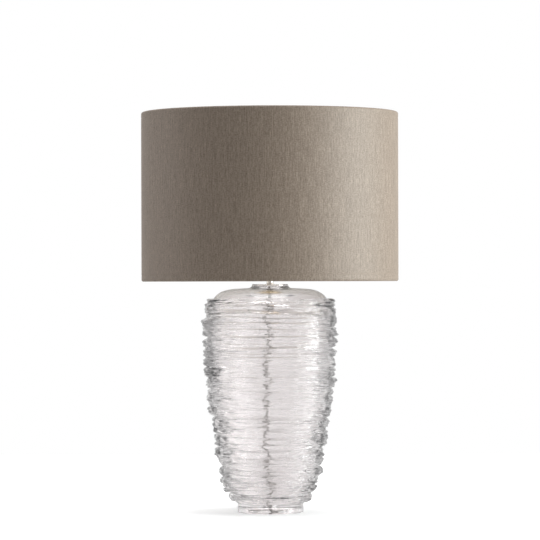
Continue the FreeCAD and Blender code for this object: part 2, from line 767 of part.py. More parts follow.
def build_holder_inside():
    cup_radius = shell_radius - shell_wall - running_gap
    cup_top = cup_bottom + insulator_height
    bore = screw_shell_radius + slip
    piece(turned("cup", [
        (0.0, cup_bottom),
        (cup_radius, cup_bottom),
        (cup_radius, cup_top),
        (bore, cup_top),
        (bore, cup_inside),
        (0.0, cup_inside),
    ]), "holder_insulator")
    screw_shell_bottom = cup_inside + side_contact_height
    piece(tube("screw", screw_shell_radius, screw_shell_radius - screw_shell_wall,
               screw_shell_height, screw_shell_bottom), "screw_shell")
    piece(cylinder("contact", contact_radius, contact_thickness, z=cup_inside), "centre_contact")
    side_place = screw_shell_radius - side_contact_depth / 2 - slip
    piece(box("side", side_contact_depth, side_contact_width, side_contact_height,
              side_place, 0.0, cup_inside), "side_contact")

    block = box("switch_blank", switch_length, switch_width, switch_height, 0.0, 0.0,
                cup_bottom - switch_height)
    bore_through = cylinder("switch_bore", bar_radius + running_gap, switch_length * 2,
                            switch_length * -1, 0.0, bar_height, Vector(1, 0, 0))
    piece(cut("switch", block, bore_through), "switch_body")

    bar = cylinder("bar_blank", bar_radius, bar_length, -(bar_length + bar_travel) / 2, 0.0, bar_height,
                   Vector(1, 0, 0))
    doc.recompute()
    rounded = doc.addObject("Part::Fillet", "bar")
    rounded.Base = bar
    ends = [number for number, edge in enumerate(bar.Shape.Edges, start=1) if edge.isClosed()]
    rounded.Edges = [(number, float(bar_rounding), float(bar_rounding)) for number in ends]
    piece(rounded, "push_bar")

    blocks = []
    screws = []
    for side in (1, -1):
        name = "front" if side < 0 else "back"
        block_y = terminal_spread * side
        block_z = cup_bottom - terminal_height
        blocks.append(box("block_" + name, terminal_width, terminal_width, terminal_height,
                          0.0, block_y, block_z))
        screws.append(cylinder("screw_" + name, screw_radius, screw_length, 0.0,
                               block_y + terminal_width * (side / 2), cup_bottom - terminal_height / 2,
                               Vector(0, side, 0)))
    piece(group("blocks", blocks), "terminal_blocks")
    piece(group("screws", screws), "terminal_screws")

    piece(tube("grip", grip_radius, bush_bore_radius, grip_height, grip_bottom), "cord_grip")
    core_radius = float(core_diameter) / 2
    start = float(grip_top) + core_radius * 0.8
    for node, side in (("live_core", 1), ("neutral_core", -1)):
        points = [
            Vector(0, 1.2 * side, start),
            Vector(0, 2.8 * side, start + 1.5),
            Vector(0, 7.6 * side, start + 2.6),
            Vector(0, float(terminal_spread) * side, start + 6.0),
            Vector(0, float(terminal_spread) * side, float(cup_bottom - terminal_height)),
        ]
        path, _ = run_to_run_path(points)
        piece(solid(node, round_bar(path, core_radius)), node)


# ---------------------------------------------------------------- shade carrier

def build_carrier():
    piece(tube("retainer", retainer_radius, shell_radius + slip, retainer_height,
               carrier_base + carrier_thickness + running_gap), "retaining_ring")
    piece(tube("ring", carrier_radius, shell_radius + running_gap, carrier_thickness, carrier_base),
          "carrier_ring")

    wire = float(carrier_wire_radius)
    foot_height_up = float(carrier_base) + wire + 0.1
    start = float(carrier_radius + slip)
    slope_start = start + float(carrier_foot_run)
    spread = float(carrier_spread)
    top = float(carrier_ring_height + prong_height)
    wires = []
    count = round(float(carrier_wire_count))
    for index in range(count):
        degrees = 90 + index * 360 / count
        points = [
            around(start, degrees, foot_height_up),
            around(slope_start, degrees, foot_height_up),
            around(spread, degrees, foot_height_up + float(carrier_slope_height)),
            around(spread, degrees, top),
        ]
        path, _ = run_to_run_path(points, carrier_bend)
        wires.append(round_bar(path, wire))
    piece(solid("wires", Part.makeCompound(wires)), "carrier_wires")
    ring_radius = carrier_spread + carrier_wire_radius * 2 + slip
    piece(torus("top_ring", ring_radius, carrier_wire_radius, carrier_ring_height), "carrier_top_ring")


# ---------------------------------------------------------------- drum shade

def build_shade():
    hem_ring_radius = shade_radius - hem_radius
    skin_radius = shade_radius - fabric_thickness
    skin_inset = hem_radius * 2 - hem_lap
    piece(tube("skin", shade_radius, skin_radius, shade_height - skin_inset * 2,
               shade_bottom + skin_inset), "shade_fabric")
    liner_outer = skin_radius - liner_gap
    liner_inset = hem_radius * 2 + liner_gap
    piece(tube("liner", liner_outer, liner_outer - liner_thickness, shade_height - liner_inset * 2,
               shade_bottom + liner_inset), "shade_liner")
    for name, height in (("top", shade_top - hem_radius), ("bottom", shade_bottom + hem_radius)):
        rolled = torus("roll_" + name, hem_ring_radius, hem_radius, height)
        hollow = torus("roll_hollow_" + name, hem_ring_radius, hem_radius - fabric_thickness, height)
        piece(cut("hem_roll_" + name, rolled, hollow), "hem_" + name)
        piece(torus("wire_" + name, hem_ring_radius, frame_wire_radius, height), f"shade_{name}_wire")

    duplex_inner = carrier_spread + carrier_wire_radius + running_gap
    duplex_outer = duplex_inner + duplex_width
    piece(tube("duplex", duplex_outer, duplex_inner, duplex_thickness, duplex_bottom), "duplex_ring")
    arm = float(arm_radius)
    inner_end = float(duplex_outer + slip)
    outer_end = float(shade_radius - hem_radius * 2 - slip)
    low = float(duplex_bottom + duplex_thickness / 2) + 0.2
    high = float(shade_top - hem_radius)
    level = float(arm_level_run)
    arms = []
    count = round(float(arm_count))
    for index in range(count):
        degrees = 30 + index * 360 / count
        points = [
            around(inner_end, degrees, low),
            around(inner_end + level, degrees, low),
            around(outer_end - level, degrees, high),
            around(outer_end, degrees, high),
        ]
        path, _ = run_to_run_path(points, arm_bend)
        arms.append(round_bar(path, arm))
    piece(solid("arms", Part.makeCompound(arms)), "spider_arms")


# ---------------------------------------------------------------- bulb

GLOBE_JOIN = 35  # degrees below the globe's middle where its neck joins it


def globe_outline(neck, radius, neck_top, centre):
    """A globe's outline from the top of its neck to its crown."""
    join = math.radians(GLOBE_JOIN)
    join_radius = radius * math.cos(join)
    join_height = centre - radius * math.sin(join)
    throat = neck + 0.45 * (radius - neck)
    side = radius * math.sqrt(0.5)
    return [
        smooth_outline([
            (neck, neck_top), (throat, (neck_top + join_height) / 2), (join_radius, join_height),
        ]).toShape(),
        arc((join_radius, join_height), (side, centre + side), (0, centre + radius)),
    ]


def build_bulb():
    piece(cylinder("tip", bulb_tip_radius, bulb_tip_height, z=tip_bottom), "bulb_tip")
    cone_bottom = tip_bottom + bulb_tip_height + slip
    cone_top = cone_bottom + bulb_insulator_height
    piece(turned("cone", [
        (0.0, cone_bottom),
        (bulb_insulator_radius, cone_bottom),
        (bulb_seat_radius - slip, cone_top - bulb_insulator_rim),
        (bulb_seat_radius - slip, cone_top),
        (0.0, cone_top),
    ]), "bulb_insulator")
    cap_inside = bulb_cap_radius - bulb_cap_wall
    cap_end = cone_top + bulb_cap_height
    piece(turned("screw_cap", [
        (bulb_seat_radius, cone_top),
        (bulb_seat_radius + bulb_cap_wall, cone_top),
        (bulb_cap_radius, cone_top + bulb_cap_cone),
        (bulb_cap_radius, cap_end),
        (cap_inside, cap_end),
        (cap_inside, cone_top + bulb_cap_cone + bulb_cap_wall),
        (bulb_seat_radius, cone_top + bulb_cap_wall),
    ]), "bulb_screw_cap")

    neck_bottom = float(cone_top + bulb_cap_cone + bulb_cap_wall + globe_seat)
    neck_top = neck_bottom + float(globe_neck_length)
    centre = neck_bottom + float(globe_centre_rise)
    neck = float(globe_neck_radius)
    wall = float(globe_wall)
    outer = globe_outline(neck, float(globe_radius), neck_top, centre)
    inner = globe_outline(neck - wall, float(globe_radius) - wall, neck_top, centre)
    piece(solid("globe", turned_face([
        line((neck - wall, neck_bottom), (neck, neck_bottom)),
        line((neck, neck_bottom), (neck, neck_top)),
        *outer,
        line((0, centre + float(globe_radius)), (0, centre + float(globe_radius) - wall)),
        *reversed(inner),
        line((neck - wall, neck_top), (neck - wall, neck_bottom)),
    ])), "bulb_globe")

    flare = neck - wall - float(slip)
    stem = float(bulb_stem_radius)
    stem_end = neck_bottom + float(bulb_stem_height)
    stem_start = neck_bottom + float(globe_wall)
    disc_top = stem_start + float(bulb_stem_disc)
    piece(turned("mount", [
        (0.0, stem_start),
        (flare, stem_start),
        (flare, disc_top),
        (stem, disc_top + float(bulb_stem_flare)),
        (stem, stem_end - stem / 2),
        (stem / 2, stem_end),
        (0.0, stem_end),
    ]), "bulb_stem")
    sticks = []
    count = round(float(filament_count))
    filament = float(filament_radius)
    stick_place = stem + filament + float(slip) * 2
    for index in range(count):
        degrees = 45 + index * 360 / count
        low = around(stick_place, degrees, stem_end - float(filament_overlap))
        high = around(stick_place + float(filament_lean), degrees, low.z + float(filament_length))
        sticks.append(Part.makeCylinder(filament, (high - low).Length, low, high - low))
    piece(solid("sticks", Part.makeCompound(sticks)), "bulb_filaments")


# ---------------------------------------------------------------- flex and plug

FLOOR_LINE = 2.7  # height of the flex's centre where it lies on the table
LEAD_INSIDE = [
    (0.0, 0.0, 334.0),
    (-4.6, 0.8, 290.0),
    (-4.0, -0.6, 250.0),
    (-5.4, 0.6, 206.0),
    (-7.2, -0.4, 162.0),
    (-6.8, 0.8, 118.0),
    (-6.0, -0.2, 78.0),
    (-1.4, 0.2, 44.0),
    (0.0, 0.1, 22.0),
    (0.0, 0.0, FLOOR_LINE),
    (4.5, 17.0, FLOOR_LINE),
]
LEAD_RUN = [
    (4.5, 17.0, FLOOR_LINE),
    (9.5, 36.0, FLOOR_LINE),
    (13.0, 58.0, FLOOR_LINE),
    (20.0, 84.0, FLOOR_LINE),
    (32.0, 110.0, FLOOR_LINE),
    (46.5, 134.0, 2.9),
    (51.3, 156.0, 4.1),
    (51.0, 169.8, 4.1),
]
LEAD_TAIL = [
    (-37.0, 169.8, 9.9),
    (-37.2, 158.0, 9.6),
    (-38.2, 146.0, 8.3),
    (-35.0, 134.0, 7.05),
    (-35.0, 124.0, 7.05),
]


def coil_place(turn):
    """The put-away flex: in along the lower layer, up in half a turn, out along the upper one."""
    turns = float(coil_turns)
    inner = float(coil_radius) - float(coil_step) * turns
    climb = min(max((turn - turns) / 0.5, 0.0), 1.0)
    if turn <= turns:
        radius = float(coil_radius) - float(coil_step) * turn
    elif turn <= turns + 0.5:
        radius = inner - float(coil_step) * 0.5 * math.sin(math.pi * climb) / math.pi
    else:
        radius = inner + float(coil_step) * (turn - turns - 0.5)
    height = float(coil_lift) + float(coil_layer_step) * (0.5 - 0.5 * math.cos(math.pi * climb))
    angle = 2 * math.pi * turn
    return Vector(float(coil_x) + radius * math.cos(angle), float(coil_y) + radius * math.sin(angle), height)


def build_flex():
    radius = float(cord_radius)
    inside_points = [Vector(0, 0, float(grip_top))] + [Vector(*spot) for spot in LEAD_INSIDE]
    for node, points in (
        ("lead_inside", inside_points),
        ("lead_run", [Vector(*spot) for spot in LEAD_RUN]),
        ("lead_tail", [Vector(*spot) for spot in LEAD_TAIL]),
    ):
        path, radii = run_to_run_path(points)
        print(f"  {node}: arc radii " + ", ".join(f"{value:.0f}" for value in radii))
        piece(solid(node, round_bar(path, radius)), node)

    whole_turns = 2 * float(coil_turns) + 0.5
    coil = wound_path(coil_place, whole_turns, cord_diameter)
    piece(solid("coil", round_bar(coil, radius)), "lead_coil")
    print(f"  lead_coil: least gap to itself {least_gap(coil_place, whole_turns, cord_diameter):.2f}")

    margin = cord_radius + tie_clearance
    inner_face = coil_radius - coil_step * coil_turns.number - coil_step / 2 - margin
    outer_face = coil_radius + margin
    low_face = coil_lift - margin
    high_face = coil_lift + coil_layer_step + margin
    depth = outer_face - inner_face
    height = high_face - low_face
    middle = coil_y - (inner_face + outer_face) / 2
    strap = box("tie_blank", tie_width, depth + tie_thickness * 2, height + tie_thickness * 2,
                coil_x, middle, low_face - tie_thickness)
    window = box("tie_window", tie_width * 2, depth, height, coil_x, middle, low_face)
    piece(cut("tie", strap, window), "coil_tie")


def build_plug():
    plug_height = plug_lift + plug_thickness / 2
    body_rear = plug_rear - relief_length
    relief = turned("relief", [
        (0.0, 0.0),
        (relief_wide, 0.0),
        (relief_narrow, relief_length),
        (0.0, relief_length),
    ])
    relief.Placement = Placement(Vector(), Rotation(Vector(0, 0, 1), Vector(0, 1, 0)))
    place(relief, plug_x, body_rear, plug_height)
    piece(relief, "plug_relief")

    body = doc.addObject("PartDesign::Body", "plug")
    half = plug_width / 2
    half_tail = plug_tail_width / 2
    sketch = outline_sketch(body, "plug_outline", "XY_Plane", [
        (-half_tail, 0.0),
        (-half, -(plug_length - plug_shoulder)),
        (-half, -plug_length),
        (half, -plug_length),
        (half, -(plug_length - plug_shoulder)),
        (half_tail, 0.0),
    ])
    pad = body.newObject("PartDesign::Pad", "plug_pad")
    pad.Profile = sketch
    bind(pad, "Length", plug_thickness)
    doc.recompute()
    long_edges = [f"Edge{number}" for number, edge in enumerate(pad.Shape.Edges, start=1)
                  if abs(edge.tangentAt(edge.FirstParameter).z) < 0.5]
    fillet = body.newObject("PartDesign::Fillet", "plug_edges")
    fillet.Base = (pad, long_edges)
    bind(fillet, "Radius", plug_rounding)
    place(body, plug_x, body_rear, plug_lift)
    piece(body, "plug_body")

    front = body_rear - plug_length
    pins = [cylinder(f"pin_{name}", pin_radius, pin_length, plug_x + pin_spread * side, front, plug_height,
                     Vector(0, -1, 0)) for name, side in (("left", -1), ("right", 1))]
    piece(group("pins", pins), "plug_pins")


# ---------------------------------------------------------------- build, check and write

build_glass()
build_neck()
build_holder_shells()
build_holder_inside()
build_carrier()
build_shade()
build_bulb()
build_flex()
build_plug()
doc.recompute()

for item in doc.Objects:
    if "Invalid" in item.State or "Error" in item.State:
        raise RuntimeError(f"{item.Label} did not build: {item.State}")
for item in pieces:
    if item.Shape.isNull() or not item.Shape.isValid() or item.Shape.Volume <= 0:
        raise RuntimeError(f"{item.Label} has no valid shape")

os.makedirs("parts", exist_ok=True)
for item in pieces:
    item.Shape.exportStep(f"parts/{item.Label}.step")
    bounds = item.Shape.BoundBox
    print(f"{item.Label}: {len(item.Shape.Solids)} solid(s), {item.Shape.Volume / 1000:.2f} cm3, "
          f"z {bounds.ZMin:.2f} to {bounds.ZMax:.2f}")
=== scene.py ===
import math

import bmesh
import bpy
import numpy as np
from mathutils import Matrix, Vector


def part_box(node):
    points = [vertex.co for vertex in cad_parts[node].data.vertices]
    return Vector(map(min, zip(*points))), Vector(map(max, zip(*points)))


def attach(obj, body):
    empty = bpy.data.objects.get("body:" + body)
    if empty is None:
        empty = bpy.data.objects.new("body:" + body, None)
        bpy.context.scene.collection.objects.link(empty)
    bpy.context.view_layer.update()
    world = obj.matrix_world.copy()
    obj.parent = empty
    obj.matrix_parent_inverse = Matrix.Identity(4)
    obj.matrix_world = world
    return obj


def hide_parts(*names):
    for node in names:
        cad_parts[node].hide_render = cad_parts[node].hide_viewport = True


# The looks of a table lamp: a clear glass base wound with glass threads under a woven drum shade. Metres,
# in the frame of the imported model: +Z up, the front faces -Y, origin at the centre of the foot's underside.

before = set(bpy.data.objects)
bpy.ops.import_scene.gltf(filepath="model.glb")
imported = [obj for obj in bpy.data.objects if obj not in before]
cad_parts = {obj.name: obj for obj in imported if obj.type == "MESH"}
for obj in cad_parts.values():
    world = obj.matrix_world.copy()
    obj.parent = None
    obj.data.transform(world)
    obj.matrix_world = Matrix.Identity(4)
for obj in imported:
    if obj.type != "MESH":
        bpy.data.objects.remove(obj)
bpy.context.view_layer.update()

MM = 0.001
scene = bpy.context.scene


# ---------------------------------------------------------------- camera

PIXEL = 1.581 * MM            # size of a pixel of the photograph at the lamp's axis
PHOTO_WIDTH = 540             # pixels
CAMERA_DISTANCE = 4.85
EYE_HEIGHT = 0.3646
HORIZON_ROW = 281.6           # row of the photograph at eye height
AXIS_COLUMN = 270.0           # column of the lamp's axis at eye height
CAMERA_ROLL = math.radians(0.15)
SENSOR = 36.0                 # millimetres
FARTHEST_SEEN = 50.0


def add_camera():
    """A level camera in front of the lamp, shifted so that the lamp keeps its place in the frame."""
    data = bpy.data.cameras.new("camera")
    camera = bpy.data.objects.new("camera", data)
    scene.collection.objects.link(camera)
    camera.rotation_euler = (math.pi / 2, CAMERA_ROLL, 0)
    camera.location = (0, -CAMERA_DISTANCE, EYE_HEIGHT)
    data.sensor_width = SENSOR
    data.lens = SENSOR * CAMERA_DISTANCE / (PIXEL * PHOTO_WIDTH)
    data.shift_x = (PHOTO_WIDTH / 2 - AXIS_COLUMN) / PHOTO_WIDTH
    data.shift_y = (HORIZON_ROW - PHOTO_WIDTH / 2) / PHOTO_WIDTH
    data.clip_end = FARTHEST_SEEN
    scene.camera = camera


# ---------------------------------------------------------------- colours

FABRIC_COLOUR = (0.325, 0.250, 0.190)
FABRIC_DARK = (0.165, 0.121, 0.088)
FABRIC_LIGHT = (0.550, 0.440, 0.350)
BRASS = (0.72, 0.61, 0.43)
STEM_METAL = (0.64, 0.60, 0.54)
CAP_METAL = (0.84, 0.83, 0.80)
NUT_METAL = (0.40, 0.36, 0.36)
NICKEL = (0.72, 0.70, 0.66)
LINER_WHITE = (0.88, 0.87, 0.84)
# Colour and strength of a painted glow on the liner: it is no lamp, but it is given an emission.
LINER_PAINTED_GLOW_COLOUR = (1.0, 0.93, 0.91)
LINER_PAINTED_GLOW = 0.12            # strength of a glow painted on the liner, which stands in for light that comes through the cloth
FLEX_GREY = (0.40, 0.375, 0.36)
GLASS_TINT = (0.993, 0.968, 0.970)
GLASS_INDEX = 1.5             # refractive index
BULB_TINT = (0.995, 0.995, 0.99)


# ---------------------------------------------------------------- shader helpers

class Shader:
    """A material whose nodes are added one by one."""

    def __init__(self, name):
        self.material = bpy.data.materials.new(name)
        self.material.use_nodes = True
        self.nodes = self.material.node_tree.nodes
        self.links = self.material.node_tree.links
        self.surface = self.nodes["Principled BSDF"]

    def put(self, socket, value):
        """Sets a socket to a value or links it to another socket."""
        if isinstance(value, bpy.types.NodeSocket):
            self.links.new(value, socket)
        elif isinstance(value, tuple) and len(value) == 3 and len(socket.default_value) == 4:
            socket.default_value = (*value, 1.0)
        else:
            socket.default_value = value

    def set(self, **inputs):
        """Sets inputs of the surface, with underscores for the spaces in their names."""
        for name, value in inputs.items():
            self.put(self.surface.inputs[name.replace("_", " ")], value)

    def maths(self, operation, first, second=0.0):
        """One operation on two values or sockets."""
        node = self.nodes.new("ShaderNodeMath")
        node.operation = operation
        self.put(node.inputs[0], first)
        self.put(node.inputs[1], second)
        return node.outputs[0]

    def weighed(self, first, first_share, second, second_share):
        """Two values added in shares."""
        return self.maths("ADD", self.maths("MULTIPLY", first, first_share),
                          self.maths("MULTIPLY", second, second_share))

    def place(self):
        """Where the shaded point is, in the object's own metres."""
        return self.nodes.new("ShaderNodeTexCoord").outputs["Object"]

    def stretched(self, vector, scale):
        """A place scaled along each axis, so that a noise there has that many cells to the metre."""
        node = self.nodes.new("ShaderNodeMapping")
        self.put(node.inputs["Vector"], vector)
        node.inputs["Scale"].default_value = scale
        return node.outputs[0]

    def round_place(self, radius):
        """The place unrolled from a cylinder about Z: distance round it from the front, then height."""
        split = self.nodes.new("ShaderNodeSeparateXYZ")
        self.put(split.inputs[0], self.place())
        x, y, z = split.outputs
        angle = self.maths("ARCTAN2", x, self.maths("MULTIPLY", y, -1.0))
        join = self.nodes.new("ShaderNodeCombineXYZ")
        self.put(join.inputs[0], self.maths("MULTIPLY", angle, radius))
        self.put(join.inputs[1], z)
        return join.outputs[0]

    def noise(self, vector, scale=1.0, detail=4.0, roughness=0.5):
        """A cloudy value from 0 to 1."""
        node = self.nodes.new("ShaderNodeTexNoise")
        self.put(node.inputs["Vector"], vector)
        node.inputs["Scale"].default_value = scale
        node.inputs["Detail"].default_value = detail
        node.inputs["Roughness"].default_value = roughness
        return node.outputs["Fac"]

    def ridges(self, value):
        """Sharp crests where a noise crosses its middle."""
        return self.maths("ABSOLUTE", self.maths("SUBTRACT", value, 0.5))

    def ramp(self, value, *stops):
        """A colour ramp whose stops are pairs of position and colour."""
        node = self.nodes.new("ShaderNodeValToRGB")
        self.put(node.inputs[0], value)
        elements = node.color_ramp.elements
        while len(elements) < len(stops):
            elements.new(0.5)
        for element, (position, colour) in zip(elements, stops):
            element.position = position
            element.color = (*colour, 1.0)
        return node.outputs[0]

    def mixed(self, amount, first, second, blend="MIX"):
        """Two colours blended by an amount from 0 to 1."""
        node = self.nodes.new("ShaderNodeMix")
        node.data_type = "RGBA"
        node.blend_type = blend
        self.put(node.inputs[0], amount)
        self.put(node.inputs[6], first)
        self.put(node.inputs[7], second)
        return node.outputs[2]

    def spread(self, value, low, high):
        """A value from 0 to 1 moved to a range from low to high."""
        node = self.nodes.new("ShaderNodeMapRange")
        self.put(node.inputs[0], value)
        node.inputs[3].default_value = low
        node.inputs[4].default_value = high
        return node.outputs[0]

    def bump(self, height, strength, distance):
        """Tilts the surface as if the height stood off it by up to a distance."""
        node = self.nodes.new("ShaderNodeBump")
        node.inputs["Strength"].default_value = strength
        node.inputs["Distance"].default_value = distance
        self.put(node.inputs["Height"], height)
        self.put(self.surface.inputs["Normal"], node.outputs[0])


# ---------------------------------------------------------------- materials

def clear_glass(name, tint):
    """Blown glass, with the slight waviness of its surface."""
    shader = Shader(name)
    shader.set(Base_Color=tint, Roughness=0.0, IOR=GLASS_INDEX, Transmission_Weight=1.0)
    shader.bump(shader.noise(shader.place(), 55.0, 2.0), 0.05, 0.001)
    return shader.material


def thread_glass():
    """Wound glass threads, with finer level lines than the mesh holds."""
    shader = Shader("glass_threads")
    shader.set(Base_Color=GLASS_TINT, Roughness=0.02, IOR=GLASS_INDEX, Transmission_Weight=1.0)
    place = shader.place()
    lines, wisps = (shader.ridges(shader.noise(shader.stretched(place, scale), detail=2.0, roughness=0.55))
                    for scale in ((22, 22, 200), (70, 70, 330)))
    shader.bump(shader.maths("ADD", lines, wisps), 0.8, 0.0015)
    return shader.material


def flex_rubber():
    """Soft round sheath with a faint bloom."""
    shader = Shader("flex_sheath")
    mottle = shader.noise(shader.stretched(shader.place(), (220, 220, 220)), detail=3.0)
    fine = shader.noise(shader.stretched(shader.place(), (2200, 2200, 2200)), detail=2.0)
    shader.set(
        Base_Color=shader.mixed(mottle, tuple(part * 0.92 for part in FLEX_GREY), FLEX_GREY),
        Roughness=shader.spread(mottle, 0.42, 0.55),
    )
    shader.bump(fine, 0.12, 0.0001)
    return shader.material


def woven_fabric(radius):
    """Silk-like cloth with fine upright slubs over a level weft."""
    shader = Shader("taupe_fabric")
    cloth = shader.round_place(radius)
    slubs = shader.noise(shader.stretched(cloth, (560, 24, 1)), detail=3.0, roughness=0.65)
    yarns = shader.noise(shader.stretched(cloth, (900, 130, 1)), detail=2.0, roughness=0.7)
    weft = shader.noise(shader.stretched(cloth, (300, 620, 1)), detail=2.0, roughness=0.6)
    broad = shader.noise(shader.stretched(cloth, (60, 5, 1)), detail=2.0)
    warp = shader.weighed(slubs, 0.45, yarns, 0.55)
    streaks = shader.weighed(warp, 0.70, weft, 0.30)
    colour = shader.ramp(streaks, (0.375, FABRIC_DARK), (0.50, FABRIC_COLOUR), (0.645, FABRIC_LIGHT))
    drift = shader.ramp(broad, (0.35, (0.98, 0.98, 0.98)), (0.65, (1.02, 1.02, 1.02)))
    shader.set(
        Base_Color=shader.mixed(1.0, colour, drift, "MULTIPLY"),
        Roughness=shader.spread(streaks, 0.50, 0.62),
        Specular_IOR_Level=0.85,
    )
    shader.bump(streaks, 0.45, 0.0004)
    return shader.material


def metal(name, colour, roughness):
    """Metal with a faint drift in its polish."""
    shader = Shader(name)
    place = shader.place()
    drift = shader.noise(shader.stretched(place, (90, 90, 90)), detail=3.0)
    fine = shader.noise(shader.stretched(place, (900, 900, 120)), detail=2.0)
    tone = shader.mixed(drift, tuple(part * 0.93 for part in colour), colour)
    polish = shader.spread(drift, roughness * 0.8, roughness * 1.3)
    shader.set(Base_Color=tone, Metallic=1.0, Roughness=polish)
    shader.bump(fine, 0.03, 0.0001)
    return shader.material


def plastic(name, colour, roughness, grain=0.1, **extra):
    """Moulded plastic, paint or enamel with a fine grain and a slight mottle."""
    shader = Shader(name)
    place = shader.place()
    mottle = shader.noise(shader.stretched(place, (60, 60, 60)), detail=3.0)
    fine = shader.noise(shader.stretched(place, (1400, 1400, 1400)), detail=2.0)
    tone = shader.mixed(mottle, tuple(part * 0.94 for part in colour), colour)
    shader.set(Base_Color=tone, Roughness=shader.spread(mottle, roughness * 0.9, roughness * 1.15), **extra)
    shader.bump(fine, grain, 0.0001)
    return shader.material


# ---------------------------------------------------------------- mesh helpers

def add_object(name, data, material, body, nodes=()):
    """Puts a piece in the scene, on its body, in place of the nodes that it stands for."""
    item = bpy.data.objects.new(name, data)
    scene.collection.objects.link(item)
    data.materials.append(material)
    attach(item, body)
    if nodes:
        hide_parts(*nodes)
    return item


def softened(mesh, smooth=True):
    """A mesh whose faces are all shown rounded into each other, or all flat."""
    for polygon in mesh.polygons:
        polygon.use_smooth = smooth
    return mesh


def mesh_of(name, vertices, faces, smooth=True):
    """A mesh whose faces all point outwards."""
    mesh = bpy.data.meshes.new(name)
    mesh.from_pydata([tuple(vertex) for vertex in vertices], [], faces)
    mesh.validate()
    shaper = bmesh.new()
    shaper.from_mesh(mesh)
    bmesh.ops.recalc_face_normals(shaper, faces=shaper.faces)
    shaper.to_mesh(mesh)
    shaper.free()
    return softened(mesh, smooth)


def finished(shaper, name):
    """A smooth mesh made from the shaper, which is used up."""
    mesh = bpy.data.meshes.new(name)
    shaper.to_mesh(mesh)
    shaper.free()
    return softened(mesh)


def eased(outline, radius, steps=3):
    """A closed outline whose corners are rounded by about a radius."""
    longest = 0.4             # share of a run that the rounding of a corner may take
    points = [Vector(point) for point in outline]
    result = []
    for index, corner in enumerate(points):
        before = points[index - 1] - corner
        after = points[(index + 1) % len(points)] - corner
        reach = min(radius, longest * before.length, longest * after.length)
        start = corner + before.normalized() * reach
        end = corner + after.normalized() * reach
        for step in range(steps + 1):
            part = step / steps
            result.append(start.lerp(corner, part).lerp(corner.lerp(end, part), part))
    return result


def lathe(name, outline, columns=96):
    """A mesh turned about Z from a closed outline of pairs of radius and height."""
    vertices = []
    for radius, height in outline:
        for column in range(columns):
            angle = 2 * math.pi * column / columns
            vertices.append((radius * math.cos(angle), radius * math.sin(angle), height))
    faces = []
    count = len(outline)
    for row in range(count):
        for column in range(columns):
            beside = (column + 1) % columns
            above = (row + 1) % count
            faces.append((row * columns + column, row * columns + beside,
                          above * columns + beside, above * columns + column))
    return mesh_of(name, vertices, faces)


def ring_outline(inner, outer, low, high):
    """The outline of a plain ring, from its two radii and two heights."""
    return [(inner, low), (outer, low), (outer, high), (inner, high)]


def tube_curve(name, points, radius):
    """A round bar along a smooth line that has the points as its controls."""
    curve = bpy.data.curves.new(name, "CURVE")
    curve.dimensions = "3D"
    spline = curve.splines.new("NURBS")
    spline.points.add(len(points) - 1)
    for spot, point in zip(spline.points, points):
        spot.co = (*point, 1.0)
    spline.order_u = 3
    spline.use_endpoint_u = True
    spline.resolution_u = 10
    curve.bevel_depth = radius
    curve.bevel_resolution = 5
    curve.use_fill_caps = True
    return curve


# ---------------------------------------------------------------- flex

CORD_DIAMETER = 5.2 * MM

# The routes and the coil are in millimetres, as in the solids.
FLOOR_LINE = 2.7              # height of the flex's middle where it lies on the table
GRIP_TOP = 397.4
LEAD_INSIDE = [
    (0.0, 0.0, GRIP_TOP),
    (0.0, 0.0, 334.0),
    (-4.6, 0.8, 290.0),
    (-4.0, -0.6, 250.0),
    (-5.4, 0.6, 206.0),
    (-7.2, -0.4, 162.0),
    (-6.8, 0.8, 118.0),
    (-6.0, -0.2, 78.0),
    (-1.4, 0.2, 44.0),
    (0.0, 0.1, 22.0),
    (0.0, 0.0, FLOOR_LINE),
    (4.5, 17.0, FLOOR_LINE),
]
LEAD_RUN = [
    (4.5, 17.0, FLOOR_LINE),
    (9.5, 36.0, FLOOR_LINE),
    (13.0, 58.0, FLOOR_LINE),
    (20.0, 84.0, FLOOR_LINE),
    (32.0, 110.0, FLOOR_LINE),
    (46.5, 134.0, 2.9),
    (51.3, 156.0, 4.1),
]
LEAD_TAIL = [
    (-37.2, 158.0, 9.6),
    (-38.2, 146.0, 8.3),
    (-35.0, 134.0, 7.05),
    (-35.0, 124.0, 7.05),
]
COIL_CENTRE = (7.0, 175.0)
COIL_RADIUS = 44.0
COIL_STEP = 5.9               # from one turn to the next
COIL_LAYER_STEP = 5.8         # from the lower layer to the upper one
COIL_TURNS = 3                # in each layer
COIL_LIFT = 4.1               # height of the lower layer's middle
COIL_POINTS_PER_TURN = 12
CLIMB = 0.5                   # turns over which the coil rises to its upper layer


def coil_points():
    """The coil's turns: in along the lower layer, up in half a turn, out along the upper one."""
    inner = COIL_RADIUS - COIL_STEP * COIL_TURNS
    # A smooth line passes inside its controls, so they stand a little outside the turns.
    swell = 4 / (3 + math.cos(2 * math.pi / COIL_POINTS_PER_TURN))
    points = []
    for index in range(round((2 * COIL_TURNS + CLIMB) * COIL_POINTS_PER_TURN) + 1):
        turn = index / COIL_POINTS_PER_TURN
        climb = min(max((turn - COIL_TURNS) / CLIMB, 0.0), 1.0)
        radius = COIL_RADIUS - COIL_STEP * turn
        if turn > COIL_TURNS:
            radius = inner - COIL_STEP * CLIMB * math.sin(math.pi * climb) / math.pi
        if turn > COIL_TURNS + CLIMB:
            radius = inner + COIL_STEP * (turn - COIL_TURNS - CLIMB)
        height = COIL_LIFT + COIL_LAYER_STEP * (0.5 - 0.5 * math.cos(math.pi * climb))
        angle = 2 * math.pi * turn
        points.append((COIL_CENTRE[0] + radius * swell * math.cos(angle),
                       COIL_CENTRE[1] + radius * swell * math.sin(angle), height))
    return points


def in_metres(points):
    return [tuple(value * MM for value in point) for point in points]


